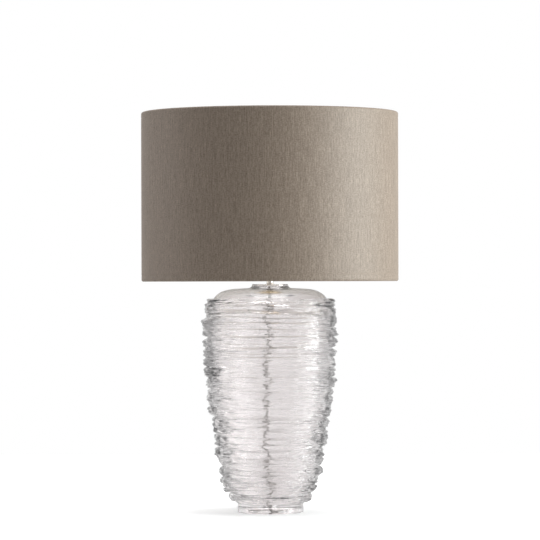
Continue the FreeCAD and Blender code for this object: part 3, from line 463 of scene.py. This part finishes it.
def line_length(curve_object):
    """The length of a curve's own line, in metres."""
    bare = curve_object.data.copy()
    bare.bevel_depth = 0.0
    holder = bpy.data.objects.new("measure", bare)
    mesh = bpy.data.meshes.new_from_object(holder)
    total = sum((mesh.vertices[edge.vertices[0]].co - mesh.vertices[edge.vertices[1]].co).length
                for edge in mesh.edges)
    bpy.data.objects.remove(holder)
    bpy.data.meshes.remove(mesh)
    bpy.data.curves.remove(bare)
    return total


def add_flex(material):
    """The flex inside the glass, and the rest of it put away behind the foot."""
    radius = CORD_DIAMETER / 2
    inside = in_metres(LEAD_INSIDE)
    hanging = add_object("flex_inside", tube_curve("flex_inside", inside, radius), material, "base",
                         ["lead_inside"])
    line_length(hanging)
    route = in_metres(LEAD_RUN + coil_points() + LEAD_TAIL)
    outer = add_object("flex_outer", tube_curve("flex_outer", route, radius), material, "base",
                       ["lead_run", "lead_coil", "lead_tail"])
    line_length(outer)
    add_plug() + [add_coil_tie()]


def bar_along(name, outline, start, direction):
    """A turned piece laid along a direction: its outline's heights run from the start."""
    mesh = lathe(name, outline, columns=32)
    turn = Vector((0, 0, 1)).rotation_difference(Vector(direction)).to_matrix().to_4x4()
    mesh.transform(Matrix.Translation(start) @ turn)
    return mesh


def joined(name, meshes):
    """Several meshes as one."""
    shaper = bmesh.new()
    for mesh in meshes:
        shaper.from_mesh(mesh)
        bpy.data.meshes.remove(mesh)
    return finished(shaper, name)


# The plug's outlines in metres: one half of the flat shell, from its tail to its face, and for the turned
# pieces their radius and the distance along them.
PLUG_HALF_OUTLINE = [(0.009, 0.0), (0.01765, -0.020), (0.01765, -0.036)]
PLUG_CORNER = 0.004
PLUG_ROUNDING = 0.002
RELIEF_BORE = 0.0027
RELIEF_RADIUS = 0.0055
RELIEF_LENGTH = 0.014
RIB_COUNT = 6
RIB_START = 0.0003
RIB_PITCH = 0.0023
RIB_TAPER = 0.0003            # how much narrower each rib is than the one before
RIB_OUTLINE = [(0.0, 0.0), (0.0, 0.0013), (0.0009, 0.0015), (0.0009, 0.0022)]
PIN_INSET = 0.002             # from the side of the pins' box to a pin's middle
PIN_TIP_OUTLINE = [(0.0, 0.0095), (0.00199, 0.0095), (0.00199, 0.0178), (0.0013, 0.0188), (0.0, 0.019)]
PIN_SLEEVE_OUTLINE = [(0.0, 0.0), (0.0019, 0.0), (0.0019, 0.0094), (0.0, 0.0094)]
LEVEL_WITHIN = 1e-6


def corners_of(node):
    """The low and high corner of a node's box."""
    return [Vector(corner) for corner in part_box(node)]


def plug_mesh(middle, low, high):
    """The plug's flat shell: its outline raised from its lower face, with its edges rounded."""
    left = [(-across, along) for across, along in PLUG_HALF_OUTLINE]
    outline = eased([(x, y, 0.0) for x, y in left + PLUG_HALF_OUTLINE[::-1]], PLUG_CORNER)
    shaper = bmesh.new()
    lower = [shaper.verts.new((middle + spot.x, high.y + spot.y, low.z)) for spot in outline]
    face = shaper.faces.new(lower)
    raised = bmesh.ops.extrude_face_region(shaper, geom=[face])
    top = [part for part in raised["geom"] if isinstance(part, bmesh.types.BMVert)]
    bmesh.ops.translate(shaper, verts=top, vec=(0, 0, high.z - low.z))
    bmesh.ops.recalc_face_normals(shaper, faces=shaper.faces)
    level = [edge for edge in shaper.edges
             if abs(edge.verts[0].co.z - edge.verts[1].co.z) < LEVEL_WITHIN]
    bmesh.ops.bevel(shaper, geom=level, offset=PLUG_ROUNDING, segments=4, profile=0.5, affect="EDGES")
    return finished(shaper, "plug_shell")


def relief_outline():
    """The strain relief's ribs, each a little narrower than the one before."""
    ribs = [(RELIEF_BORE, 0.0)]
    for rib in range(RIB_COUNT):
        radius = RELIEF_RADIUS - RIB_TAPER * rib
        start = RIB_START + RIB_PITCH * rib
        ribs += [(radius - depth, start + along) for depth, along in RIB_OUTLINE]
    return ribs + [(RELIEF_BORE, RELIEF_LENGTH)]


def add_plug():
    """A flat two-pin plug with its ribbed strain relief."""
    shell = plastic("plug_white", (0.70, 0.69, 0.67), 0.35, 0.05)
    low, high = corners_of("plug_body")
    middle = (low.x + high.x) / 2
    body = add_object("plug_shell", plug_mesh(middle, low, high), shell, "base",
                      ["plug_body"])

    low, high = corners_of("plug_relief")
    sleeve = bar_along("plug_sleeve", relief_outline(), (middle, low.y, (low.z + high.z) / 2), (0, 1, 0))
    relief = add_object("plug_sleeve", sleeve, shell, "base", ["plug_relief"])

    low, high = corners_of("plug_pins")
    steel = metal("pin_nickel", NICKEL, 0.2)
    grip = plastic("pin_sleeves", (0.03, 0.03, 0.03), 0.4)
    tips = []
    sleeves = []
    for side, across in (("left", low.x + PIN_INSET), ("right", high.x - PIN_INSET)):
        where = (across, high.y, (low.z + high.z) / 2)
        tips.append(bar_along("pin_" + side, PIN_TIP_OUTLINE, where, (0, -1, 0)))
        sleeves.append(bar_along("pin_sleeve_" + side, PIN_SLEEVE_OUTLINE, where, (0, -1, 0)))
    bare = add_object("plug_pin_tips", joined("plug_pin_tips", tips), steel, "base",
                      ["plug_pins"])
    covered = add_object("plug_pin_sleeves", joined("plug_pin_sleeves", sleeves), grip, "base")
    return [body, relief, bare, covered]


TIE_THICKNESS = 0.001
TIE_CORNER = 0.004


def tie_ring(low, high, inset):
    """The strap's course round the coil, an inset inside its box."""
    low_y, high_y = low.y + inset, high.y - inset
    low_z, high_z = low.z + inset, high.z - inset
    return eased([(0.0, low_y, low_z), (0.0, high_y, low_z), (0.0, high_y, high_z), (0.0, low_y, high_z)],
                 TIE_CORNER - inset)


def add_coil_tie():
    """A flat clear strap round the coil."""
    low, high = corners_of("coil_tie")
    strap = plastic("tie_clear", (0.75, 0.75, 0.74), 0.3, 0.05)
    rings = [tie_ring(low, high, 0.0), tie_ring(low, high, TIE_THICKNESS)]
    count = len(rings[0])
    vertices = [(across, spot.y, spot.z) for across in (low.x, high.x) for ring in rings for spot in ring]
    outer_a, inner_a, outer_b, inner_b = (turn * count for turn in range(4))
    faces = []
    for index in range(count):
        beside = (index + 1) % count
        for first, second in ((outer_a, outer_b), (inner_a, inner_b), (outer_a, inner_a), (outer_b, inner_b)):
            faces.append((first + index, first + beside, second + beside, second + index))
    mesh = mesh_of("tie_strap", vertices, faces, smooth=False)
    return add_object("tie_strap", mesh, strap, "base", ["coil_tie"])


# ---------------------------------------------------------------- glass

# The vessel's measures are in millimetres, as in the solids: radii and heights above the table.
GLASS_COLUMNS = 112
GLASS_STATIONS = [
    (52.2, 14.0),
    (64.0, 34.0),
    (75.5, 82.0),
    (86.0, 148.0),
    (95.5, 218.0),
    (98.2, 280.0),
    (95.3, 326.0),
    (87.4, 341.0),
    (73.5, 350.0),
    (52.0, 353.6),
    (34.0, 354.4),
]
ROW_STEP = 0.50               # from one row of the wound surface to the next
SHOULDER_SKIP = 5             # the plain shoulder keeps every fifth of those rows
INSIDE_SKIP = 14              # and the inside every fourteenth
GLASS_WALL = 6.0
FOOT_RADIUS, FOOT_HEIGHT = GLASS_STATIONS[0]
FOOT_ROUNDING = 3.2
RIM_RADIUS = 43.0             # inner edge of the ring that the foot stands on
RECESS_DEPTH = 10.0
RECESS_ROUNDING = 4.0
FLOOR_TOP = 20.0
FLOOR_HOLE_RADIUS = 8.0
CAVITY_FLOOR_RADIUS = 46.0
INSIDE_LOW = 30.0             # the inside follows the outside above this height
INSIDE_NARROW = 33.0          # and beyond this radius
COLLAR_ROOT = GLASS_STATIONS[-1]
COLLAR_FLARE = 5.4            # radius of the curve from the shoulder into the collar
LIP = [(28.5, 359.7), (28.2, 360.2), (27.6, 360.5), (26.8, 360.6),
       (26.0, 360.5), (25.4, 360.2), (25.1, 359.7)]
COLLAR_BORE_RADIUS = 25.0
COLLAR_BORE_TOP = 359.2
LEDGE_HEIGHT = 355.2
NECK_BORE_RADIUS = 20.0
NECK_SPREAD = 30.0            # where the neck's lower edge meets the inside of the shoulder
NOTCH_CENTRE = 11.0
NOTCH_HALF_WIDTH = 12.0
NOTCH_HEIGHT = 9.4

RELIEF_LOW = 14.6             # heights between which the threads lie on the vessel
RELIEF_HIGH = 338.0
RELIEF_SEED = 23
FADE_IN = 4.0                 # lengths over which the threads rise from the foot and sink to the shoulder
FADE_OUT = 9.0
LOWEST_TILT = -0.1            # how far down the threads lean, at most, where the vessel narrows
BUNDLES = 21                  # broad swellings where threads lie heaped
BUNDLE_HALF = (6.5, 10.5)     # half their width
BUNDLE_HALF_LIMITS = (5.0, 12.0)
BUNDLE_RISE = (3.4, 6.2)      # how far they stand off
BUNDLE_RISE_LIMITS = (1.4, 7.6)
BUNDLE_ROUNDNESS = 0.42
THREADS = 230                 # single threads on top of them
THREAD_RADII = [0.8, 1.1, 1.5, 2.1, 2.7]
THREAD_SHARES = [0.26, 0.28, 0.24, 0.15, 0.07]
THREAD_SWELL = (0.45, 1.5)    # limits of how a thread's thickness changes along it
THREAD_LIFT = 0.4             # how much higher than its own radius a thread may lie


def smooth_line(stations, step):
    """A natural cubic line through the stations, sampled at even steps."""
    points = np.array(stations, float)
    reach = np.concatenate([[0], np.cumsum(np.linalg.norm(np.diff(points, axis=0), axis=1))])
    gaps = np.diff(reach)
    count = len(points)
    system = np.eye(count)
    slopes = np.zeros((count, 2))
    for index in range(1, count - 1):
        before, after = gaps[index - 1], gaps[index]
        system[index, index - 1:index + 2] = before, 2 * (before + after), after
        slopes[index] = 6 * ((points[index + 1] - points[index]) / after -
                             (points[index] - points[index - 1]) / before)
    bends = np.linalg.solve(system, slopes)
    places = np.linspace(0, reach[-1], round(reach[-1] / step) + 1)
    spans = np.clip(np.searchsorted(reach, places, side="right") - 1, 0, count - 2)
    width = gaps[spans][:, None]
    left = (reach[spans + 1] - places)[:, None] / width
    right = 1 - left
    return (left * points[spans] + right * points[spans + 1] +
            ((left ** 3 - left) * bends[spans] + (right ** 3 - right) * bends[spans + 1]) * width ** 2 / 6)


def outward_normals(line):
    """Normals of a line that climbs with the outside on its right."""
    along = np.gradient(line, axis=0)
    along /= np.linalg.norm(along, axis=1)[:, None]
    return np.stack([along[:, 1], -along[:, 0]], axis=1)


def waves(chance, angles, size, first, last):
    """A closed wave round the vessel, with from first to last crests in one turn."""
    total = np.zeros_like(angles)
    for order in range(first, last + 1):
        reach = chance.normal(0, size / order ** 0.8)
        total += reach * np.sin(order * angles + chance.uniform(0, 2 * np.pi))
    return total


def thread_relief(along, angles):
    """How far the wound threads stand off the vessel, for each distance along it and each angle."""
    chance = np.random.default_rng(RELIEF_SEED)
    length = along[-1]
    rows = along[:, None]
    swell = np.zeros((len(along), len(angles)))
    for index in range(BUNDLES):
        centre = length * (index + 0.5) / BUNDLES + chance.normal(0, 1.5) + waves(chance, angles, 1.3, 1, 5)
        half = chance.uniform(*BUNDLE_HALF) + waves(chance, angles, 1.1, 1, 4)
        rise = chance.uniform(*BUNDLE_RISE) + waves(chance, angles, 1.3, 1, 7)
        inside = np.clip(1 - ((rows - centre) / np.clip(half, *BUNDLE_HALF_LIMITS)) ** 2, 0, None)
        np.maximum(swell, np.clip(rise, *BUNDLE_RISE_LIMITS) * inside ** BUNDLE_ROUNDNESS, out=swell)
    threads = np.zeros_like(swell)
    for index in range(THREADS):
        centre = length * (index + 0.5) / THREADS + chance.normal(0, 1.6) + waves(chance, angles, 1.1, 1, 9)
        thick = chance.choice(THREAD_RADII, p=THREAD_SHARES)
        change = 1 + waves(chance, angles, 0.18, 2, 8) + waves(chance, angles, 0.5, 10, 26)
        radius = thick * np.clip(change, *THREAD_SWELL)
        lift = chance.normal(0.5, 0.8) + waves(chance, angles, 0.7, 1, 9) + waves(chance, angles, 1.2, 10, 26)
        lift = np.clip(lift, 0, THREAD_LIFT + thick)
        inside = np.clip(1 - ((rows - centre) / radius) ** 2, 0, None)
        np.maximum(threads, np.where(inside > 0, lift + radius * np.sqrt(inside), 0), out=threads)
    relief = swell + threads
    relief[1:-1] = 0.25 * relief[:-2] + 0.5 * relief[1:-1] + 0.25 * relief[2:]
    fade_in = np.clip(along / FADE_IN, 0, 1)
    fade_out = np.clip((length - along) / FADE_OUT, 0, 1)
    return relief * np.sqrt(fade_in * fade_out)[:, None]


def held_corners(points, radius, steps=2):
    """A line whose corners are rounded, with a point beside each rounding that keeps the runs flat."""
    longest = 0.3             # share of a run that the rounding of a corner may take
    beside = 1.5              # how far from the corner that point is, in lengths of the rounding
    result = []
    for index, corner in enumerate(points):
        corner = np.array(corner, float)
        if index in (0, len(points) - 1):
            result.append(corner)
            continue
        before = np.array(points[index - 1], float) - corner
        after = np.array(points[index + 1], float) - corner
        reach = min(radius, longest * np.linalg.norm(before), longest * np.linalg.norm(after))
        start = corner + before / np.linalg.norm(before) * reach
        end = corner + after / np.linalg.norm(after) * reach
        result.append(corner + (start - corner) * beside)
        for step in range(steps + 1):
            part = step / steps
            result.append((1 - part) ** 2 * start + 2 * part * (1 - part) * corner + part ** 2 * end)
        result.append(corner + (end - corner) * beside)
    return result


def arc_points(centre, radius, first, last, steps):
    """Points of an arc between two angles in degrees."""
    turns = np.radians(np.linspace(first, last, steps + 1))
    return [(centre[0] + radius * math.cos(turn), centre[1] + radius * math.sin(turn)) for turn in turns]


def glass_profile():
    """The vessel's outline as one closed loop, and the first and last of its points that carry threads."""
    outline = smooth_line(GLASS_STATIONS, ROW_STEP)
    low = int(np.argmax(outline[:, 1] > RELIEF_LOW))
    high = int(np.argmax(outline[:, 1] > RELIEF_HIGH))
    wound = outline[:high + 1]
    shoulder = outline[high + 1::SHOULDER_SKIP][:-1]
    inner = (outline - outward_normals(outline) * GLASS_WALL)[::INSIDE_SKIP]
    inner = inner[(inner[:, 1] > INSIDE_LOW) & (inner[:, 0] > INSIDE_NARROW)]
    ceiling = inner[-1][1]

    standing = FOOT_RADIUS - FOOT_ROUNDING
    foot = held_corners([(RIM_RADIUS, 6.0), (RIM_RADIUS, 0.0), (standing, 0.0)], 0.8)[1:]
    foot += arc_points((standing, FOOT_ROUNDING), FOOT_ROUNDING, -80, 0, 6)
    foot += [(FOOT_RADIUS, height) for height in (5.0, 8.0, 11.0, 13.0)]
    collar = arc_points((COLLAR_ROOT[0], COLLAR_ROOT[1] + COLLAR_FLARE), COLLAR_FLARE, 268, 182, 8)
    bore = held_corners([(COLLAR_BORE_RADIUS, COLLAR_BORE_TOP), (COLLAR_BORE_RADIUS, LEDGE_HEIGHT),
                         (NECK_BORE_RADIUS, LEDGE_HEIGHT), (NECK_BORE_RADIUS, ceiling),
                         (NECK_SPREAD, ceiling)], 0.5)
    inside = inner[::-1][:-2]
    recess_edge = RIM_RADIUS - RECESS_ROUNDING
    down = held_corners([tuple(inner[2]), (CAVITY_FLOOR_RADIUS, FLOOR_TOP), (FLOOR_HOLE_RADIUS, FLOOR_TOP),
                         (FLOOR_HOLE_RADIUS, RECESS_DEPTH), (recess_edge, RECESS_DEPTH)], 2.0)[1:-1]
    recess = arc_points((recess_edge, RECESS_DEPTH - RECESS_ROUNDING), RECESS_ROUNDING, 90, 0, 5)

    runs = (foot, wound, shoulder, collar, LIP, bore, inside, down, recess)
    first = len(foot) + low
    return np.array([tuple(point) for run in runs for point in run]), first, first + high - low


def notch_rise(x, y):
    """How far the foot's edge is raised over the flex notch."""
    across = (x - NOTCH_CENTRE) / NOTCH_HALF_WIDTH
    inside = (y > 0) & (np.abs(across) < 1)
    return np.where(inside, NOTCH_HEIGHT * np.sqrt(np.clip(1 - across ** 2, 0, 1)), 0.0)


def glass_mesh():
    """The vessel turned from its outline, with the threads' relief and the notch for the flex."""
    profile, first, last = glass_profile()
    angles = np.linspace(0, 2 * np.pi, GLASS_COLUMNS, endpoint=False)
    radii = np.repeat(profile[:, :1], GLASS_COLUMNS, axis=1)
    heights = np.repeat(profile[:, 1:], GLASS_COLUMNS, axis=1)
    zone = profile[first:last + 1]
    along = np.concatenate([[0], np.cumsum(np.linalg.norm(np.diff(zone, axis=0), axis=1))])
    normals = outward_normals(zone)
    normals[:, 1] = np.maximum(normals[:, 1], LOWEST_TILT)
    relief = thread_relief(along, angles)
    radii[first:last + 1] += relief * normals[:, :1]
    heights[first:last + 1] += relief * normals[:, 1:]
    x = radii * np.cos(angles)
    y = radii * np.sin(angles)
    foot = (profile[:, 1] < FOOT_HEIGHT) & (profile[:, 0] > RIM_RADIUS - 0.1)
    roof = np.where(profile[:, 0] < RIM_RADIUS + 0.5, RECESS_DEPTH, FOOT_HEIGHT)[:, None]
    raised = heights + notch_rise(x, y) * np.clip(1 - heights / roof, 0, 1)
    heights = np.where(foot[:, None], raised, heights)
    vertices = np.stack([x, y, heights], axis=2).reshape(-1, 3) * MM
    rows = np.arange(len(profile))
    columns = np.arange(GLASS_COLUMNS)
    above = (rows + 1) % len(rows)
    beside = (columns + 1) % GLASS_COLUMNS
    faces = np.stack([
        rows[:, None] * GLASS_COLUMNS + columns,
        rows[:, None] * GLASS_COLUMNS + beside,
        above[:, None] * GLASS_COLUMNS + beside,
        above[:, None] * GLASS_COLUMNS + columns,
    ], axis=2).reshape(-1, 4)
    mesh = mesh_of("glass_base", vertices.tolist(), faces.tolist())
    wound = np.zeros(len(faces), np.int32)
    wound[first * GLASS_COLUMNS:last * GLASS_COLUMNS] = 1
    mesh.polygons.foreach_set("material_index", wound)
    return mesh


def add_glass():
    """The vessel and its threads as one piece of glass, plain outside the wound part."""
    mesh = glass_mesh()
    add_object("glass_base", mesh, clear_glass("glass_plain", GLASS_TINT), "base",
               ["glass_vessel", "thread_trail_a", "thread_trail_b"])
    mesh.materials.append(thread_glass())


# ---------------------------------------------------------------- shade

SHADE_RADIUS = 203.0          # millimetres, like the shade's other measures
SHADE_LOW = 365.0
SHADE_HIGH = 632.0
SHADE_COLUMNS = 256
SHADE_ROWS = 36
HEM_RADIUS = 3.0
# The skin beside a hem, outside and inside: how far in from the drum's radius, and how far from the
# hem's middle.
HEM_SEAM = [(0.15, 7.0), (0.25, 6.0), (0.0, 5.0)]
HEM_INSIDE = [(5.2, 3.4), (0.9, 6.0)]


def shade_outline():
    """A thin skin that rolls over both hems, as one closed loop of radius and height."""
    low = SHADE_LOW + HEM_RADIUS
    high = SHADE_HIGH - HEM_RADIUS
    skin = [(SHADE_RADIUS, height) for height in np.linspace(low + 8, high - 8, SHADE_ROWS)]
    top = [(SHADE_RADIUS - depth, high - drop) for depth, drop in HEM_SEAM]
    top += arc_points((SHADE_RADIUS - HEM_RADIUS, high), HEM_RADIUS, 0, 200, 12)
    top += [(SHADE_RADIUS - depth, high - drop) for depth, drop in HEM_INSIDE]
    bottom = [(radius, SHADE_LOW + SHADE_HIGH - height) for radius, height in reversed(top)]
    return skin + top + bottom


def add_shade():
    """The drum's cloth with its rolled hems."""
    mesh = lathe("shade_skin", in_metres(shade_outline()), SHADE_COLUMNS)
    add_object("shade_skin", mesh, woven_fabric(SHADE_RADIUS * MM), "shade",
               ["shade_fabric", "hem_top", "hem_bottom"])


# ---------------------------------------------------------------- neck and stem

EDGE_ROUNDING = 0.4           # millimetres, like the two rings: their radii, then their heights
NECK_DISC = (5.6, 24.7, 356.0, 358.6)
STEM_TUBE = (3.4, 5.5, 352.6, 393.0)


def add_neck_ring(name, ring, material, node):
    """A ring of the neck with softened edges, in place of its node."""
    soft = eased([(radius, 0.0, height) for radius, height in ring_outline(*ring)], EDGE_ROUNDING)
    mesh = lathe(name, [(spot.x * MM, spot.z * MM) for spot in soft])
    add_object(name, mesh, material, "base", [node])


def add_neck():
    """The disc in the collar's mouth and the stem above it."""
    tube = metal("stem_metal", STEM_METAL, 0.12)
    plate = metal("cap_plate", CAP_METAL, 0.22)
    add_neck_ring("neck_disc", NECK_DISC, plate, "neck_cap")
    add_neck_ring("stem", STEM_TUBE, tube, "stem_tube")


# ---------------------------------------------------------------- carried-over nodes

def dress_nodes():
    """Gives each of the model's own pieces that stay in sight its finish."""
    brass = metal("lampholder_brass", BRASS, 0.16)
    nut = metal("nut_metal", NUT_METAL, 0.25)
    wire = metal("carrier_brass", tuple(0.95 * part for part in BRASS), 0.26)
    steel = metal("zinc_steel", (0.56, 0.56, 0.57), 0.30)
    nickel = metal("bulb_nickel", NICKEL, 0.22)
    solder = metal("solder", (0.62, 0.62, 0.63), 0.35)
    ceramic = plastic("glazed_ceramic", (0.78, 0.76, 0.72), 0.18, 0.03, Coat_Weight=0.5)
    black = plastic("black_moulding", (0.025, 0.025, 0.026), 0.38)
    brown = plastic("brown_core", (0.16, 0.07, 0.03), 0.42)
    blue = plastic("blue_core", (0.04, 0.10, 0.38), 0.42)
    clear = plastic("clear_moulding", (0.93, 0.93, 0.92), 0.18, 0.02, Transmission_Weight=0.9, IOR=1.46)
    seal = plastic("seal_clear", (0.84, 0.83, 0.81), 0.30, 0.04)
    # The liner's emission is a painted glow. It stands in for light through the cloth, and the glass shoulder
    # reflects it.
    liner = plastic("liner_white_painted_glow", LINER_WHITE, 0.60, 0.12,
                    Emission_Color=LINER_PAINTED_GLOW_COLOUR, Emission_Strength=LINER_PAINTED_GLOW)
    frame_paint = plastic("frame_white", (0.78, 0.77, 0.74), 0.40, 0.10)
    bulb_black = plastic("bulb_black_glass", (0.012, 0.012, 0.013), 0.10, 0.02)
    bulb_clear = clear_glass("bulb_clear_glass", BULB_TINT)
    coated = plastic("filament_coat", (0.82, 0.52, 0.06), 0.45, 0.15)
    finishes = {
        "cap_seal": seal, "stem_nut": nut, "stem_bush": clear, "base_grommet": clear,
        "holder_cap": brass, "grub_screw": steel, "holder_sleeve": brass, "holder_insulator": ceramic,
        "screw_shell": brass, "centre_contact": brass, "side_contact": brass, "switch_body": black,
        "push_bar": brass, "terminal_blocks": brass, "terminal_screws": steel, "cord_grip": black,
        "live_core": brown, "neutral_core": blue, "retaining_ring": brass,
        "carrier_ring": wire, "carrier_wires": wire, "carrier_top_ring": wire,
        "shade_liner": liner, "shade_top_wire": frame_paint, "shade_bottom_wire": frame_paint,
        "duplex_ring": frame_paint, "spider_arms": frame_paint,
        "bulb_tip": solder, "bulb_insulator": bulb_black, "bulb_screw_cap": nickel,
        "bulb_globe": bulb_clear, "bulb_stem": bulb_clear, "bulb_filaments": coated,
    }
    for name, material in finishes.items():
        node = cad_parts[name]
        node.data.materials.clear()
        node.data.materials.append(material)


# ---------------------------------------------------------------- stage and light

FLOOR_HALF_SIZE = 1.6
FLOOR_SINK = 0.0002           # how far the floor lies under the lamp
FLOOR_REACH = (0.05, 0.30)    # distances from the lamp over which the floor fades to plain white
FLOOR_SEEN = 0.51             # light that the floor gives off beside the lamp, as the camera sees it
FLOOR_MIRRORED = 0.30         # the same, as glass and metal show it
ROOM_SPAN = (-1.0, -0.6)      # how far back a direction points, from the room in front to the white wall
ROOM_FRONT = 0.76             # brightness of that room and wall in glass and metal
ROOM_BACK = 0.85
AMBIENT_SPAN = (-0.2, 0.8)
AMBIENT_FRONT = 0.115         # light from the front and the back on everything else
AMBIENT_BACK = 0.42
LIT_MIDDLE = Vector((0, 0, 0.35))
KEY_COLOUR = (0.955, 1.0, 0.985)
STRIP_COLOUR = (0.955, 1.0, 1.0)
FILL_COLOUR = (1.0, 0.95, 0.93)
WHITE = (1.0, 1.0, 1.0)


def add_stage():
    """A pale floor that reads white away from the lamp and keeps its soft contact shadow."""
    mesh = bpy.data.meshes.new("floor")
    corners = [(FLOOR_HALF_SIZE * x, FLOOR_HALF_SIZE * y, 0)
               for x, y in ((-1, -1), (1, -1), (1, 1), (-1, 1))]
    mesh.from_pydata(corners, [], [(0, 1, 2, 3)])
    floor = bpy.data.objects.new("floor", mesh)
    scene.collection.objects.link(floor)
    floor.location.z = -FLOOR_SINK
    shader = Shader("floor_white")
    path = shader.nodes.new("ShaderNodeLightPath")
    mirrored = shader.maths("MAXIMUM", path.outputs["Is Glossy Ray"], path.outputs["Is Transmission Ray"])
    length = shader.nodes.new("ShaderNodeVectorMath")
    length.operation = "LENGTH"
    shader.put(length.inputs[0], shader.place())
    away = shader.nodes.new("ShaderNodeMapRange")
    away.interpolation_type = "SMOOTHSTEP"
    shader.put(away.inputs[0], length.outputs["Value"])
    for socket, value in zip(away.inputs[1:5], (*FLOOR_REACH, FLOOR_SEEN, 1.0)):
        socket.default_value = value
    seen = shader.maths("ADD", shader.maths("MULTIPLY", path.outputs["Is Camera Ray"], away.outputs[0]),
                        shader.maths("MULTIPLY", mirrored, FLOOR_MIRRORED))
    grain = shader.noise(shader.place(), 40.0)
    shader.set(
        Base_Color=shader.ramp(grain, (0.3, (0.78, 0.78, 0.78)), (0.7, (0.80, 0.80, 0.80))),
        Roughness=0.9,
        Specular_IOR_Level=0.1,
        Emission_Color=WHITE,
        Emission_Strength=seen,
    )
    mesh.materials.append(shader.material)


def add_softbox(name, azimuth, elevation, distance, width, height, power, colour=WHITE):
    """A soft rectangular light, placed in degrees from the front towards +X and above the level."""
    light = bpy.data.lights.new(name, "AREA")
    light.shape = "RECTANGLE"
    light.size = width
    light.size_y = height
    light.energy = power
    light.color = colour
    item = bpy.data.objects.new(name, light)
    scene.collection.objects.link(item)
    turn = math.radians(azimuth)
    rise = math.radians(elevation)
    away = Vector((math.sin(turn) * math.cos(rise), -math.cos(turn) * math.cos(rise), math.sin(rise)))
    item.location = LIT_MIDDLE + away * distance
    item.rotation_euler = away.to_track_quat("Z", "Y").to_euler()


def add_world():
    """White for the camera, a pale room in glass and metal, and dim light on everything else."""
    world = bpy.data.worlds.new("studio")
    scene.world = world
    world.use_nodes = True
    nodes = world.node_tree.nodes
    links = world.node_tree.links
    background = nodes["Background"]
    path = nodes.new("ShaderNodeLightPath")
    split = nodes.new("ShaderNodeSeparateXYZ")
    links.new(nodes.new("ShaderNodeTexCoord").outputs["Generated"], split.inputs[0])

    def ranged(value, low, high, start, end):
        node = nodes.new("ShaderNodeMapRange")
        node.interpolation_type = "SMOOTHSTEP"
        links.new(value, node.inputs[0])
        for index, number in enumerate((low, high, start, end), 1):
            node.inputs[index].default_value = number
        return node.outputs[0]

    def maths(operation, first, second):
        node = nodes.new("ShaderNodeMath")
        node.operation = operation
        for socket, value in zip(node.inputs, (first, second)):
            if isinstance(value, float):
                socket.default_value = value
            else:
                links.new(value, socket)
        return node.outputs[0]

    room = ranged(split.outputs[1], *ROOM_SPAN, ROOM_FRONT, ROOM_BACK)
    ambient = ranged(split.outputs[1], *AMBIENT_SPAN, AMBIENT_FRONT, AMBIENT_BACK)
    through = maths("MAXIMUM", path.outputs["Is Glossy Ray"], path.outputs["Is Transmission Ray"])
    level = maths("ADD", maths("MULTIPLY", through, room),
                  maths("MULTIPLY", maths("SUBTRACT", 1.0, through), ambient))
    camera = path.outputs["Is Camera Ray"]
    strength = maths("MAXIMUM", camera, maths("MULTIPLY", maths("SUBTRACT", 1.0, camera), level))
    background.inputs["Color"].default_value = (1, 1, 1, 1)
    links.new(strength, background.inputs["Strength"])


# ---------------------------------------------------------------- assembly

add_camera()
add_flex(flex_rubber())
add_glass()
add_shade()
add_neck()
dress_nodes()
add_stage()
add_softbox("key", azimuth=84, elevation=8, distance=2.4, width=1.3, height=1.9, power=43,
            colour=KEY_COLOUR)
add_softbox("strip", azimuth=58, elevation=6, distance=2.4, width=0.45, height=1.9, power=15,
            colour=STRIP_COLOUR)
add_softbox("fill", azimuth=-96, elevation=10, distance=2.6, width=1.2, height=1.8, power=7.5,
            colour=FILL_COLOUR)
add_softbox("overhead", azimuth=0, elevation=90, distance=1.7, width=1.1, height=1.1, power=12)
add_world()

scene.view_settings.view_transform = "Standard"
# Light has to cross many surfaces of the wound glass.
scene.cycles.max_bounces = 28
scene.cycles.transmission_bounces = 24
scene.cycles.transparent_max_bounces = 12
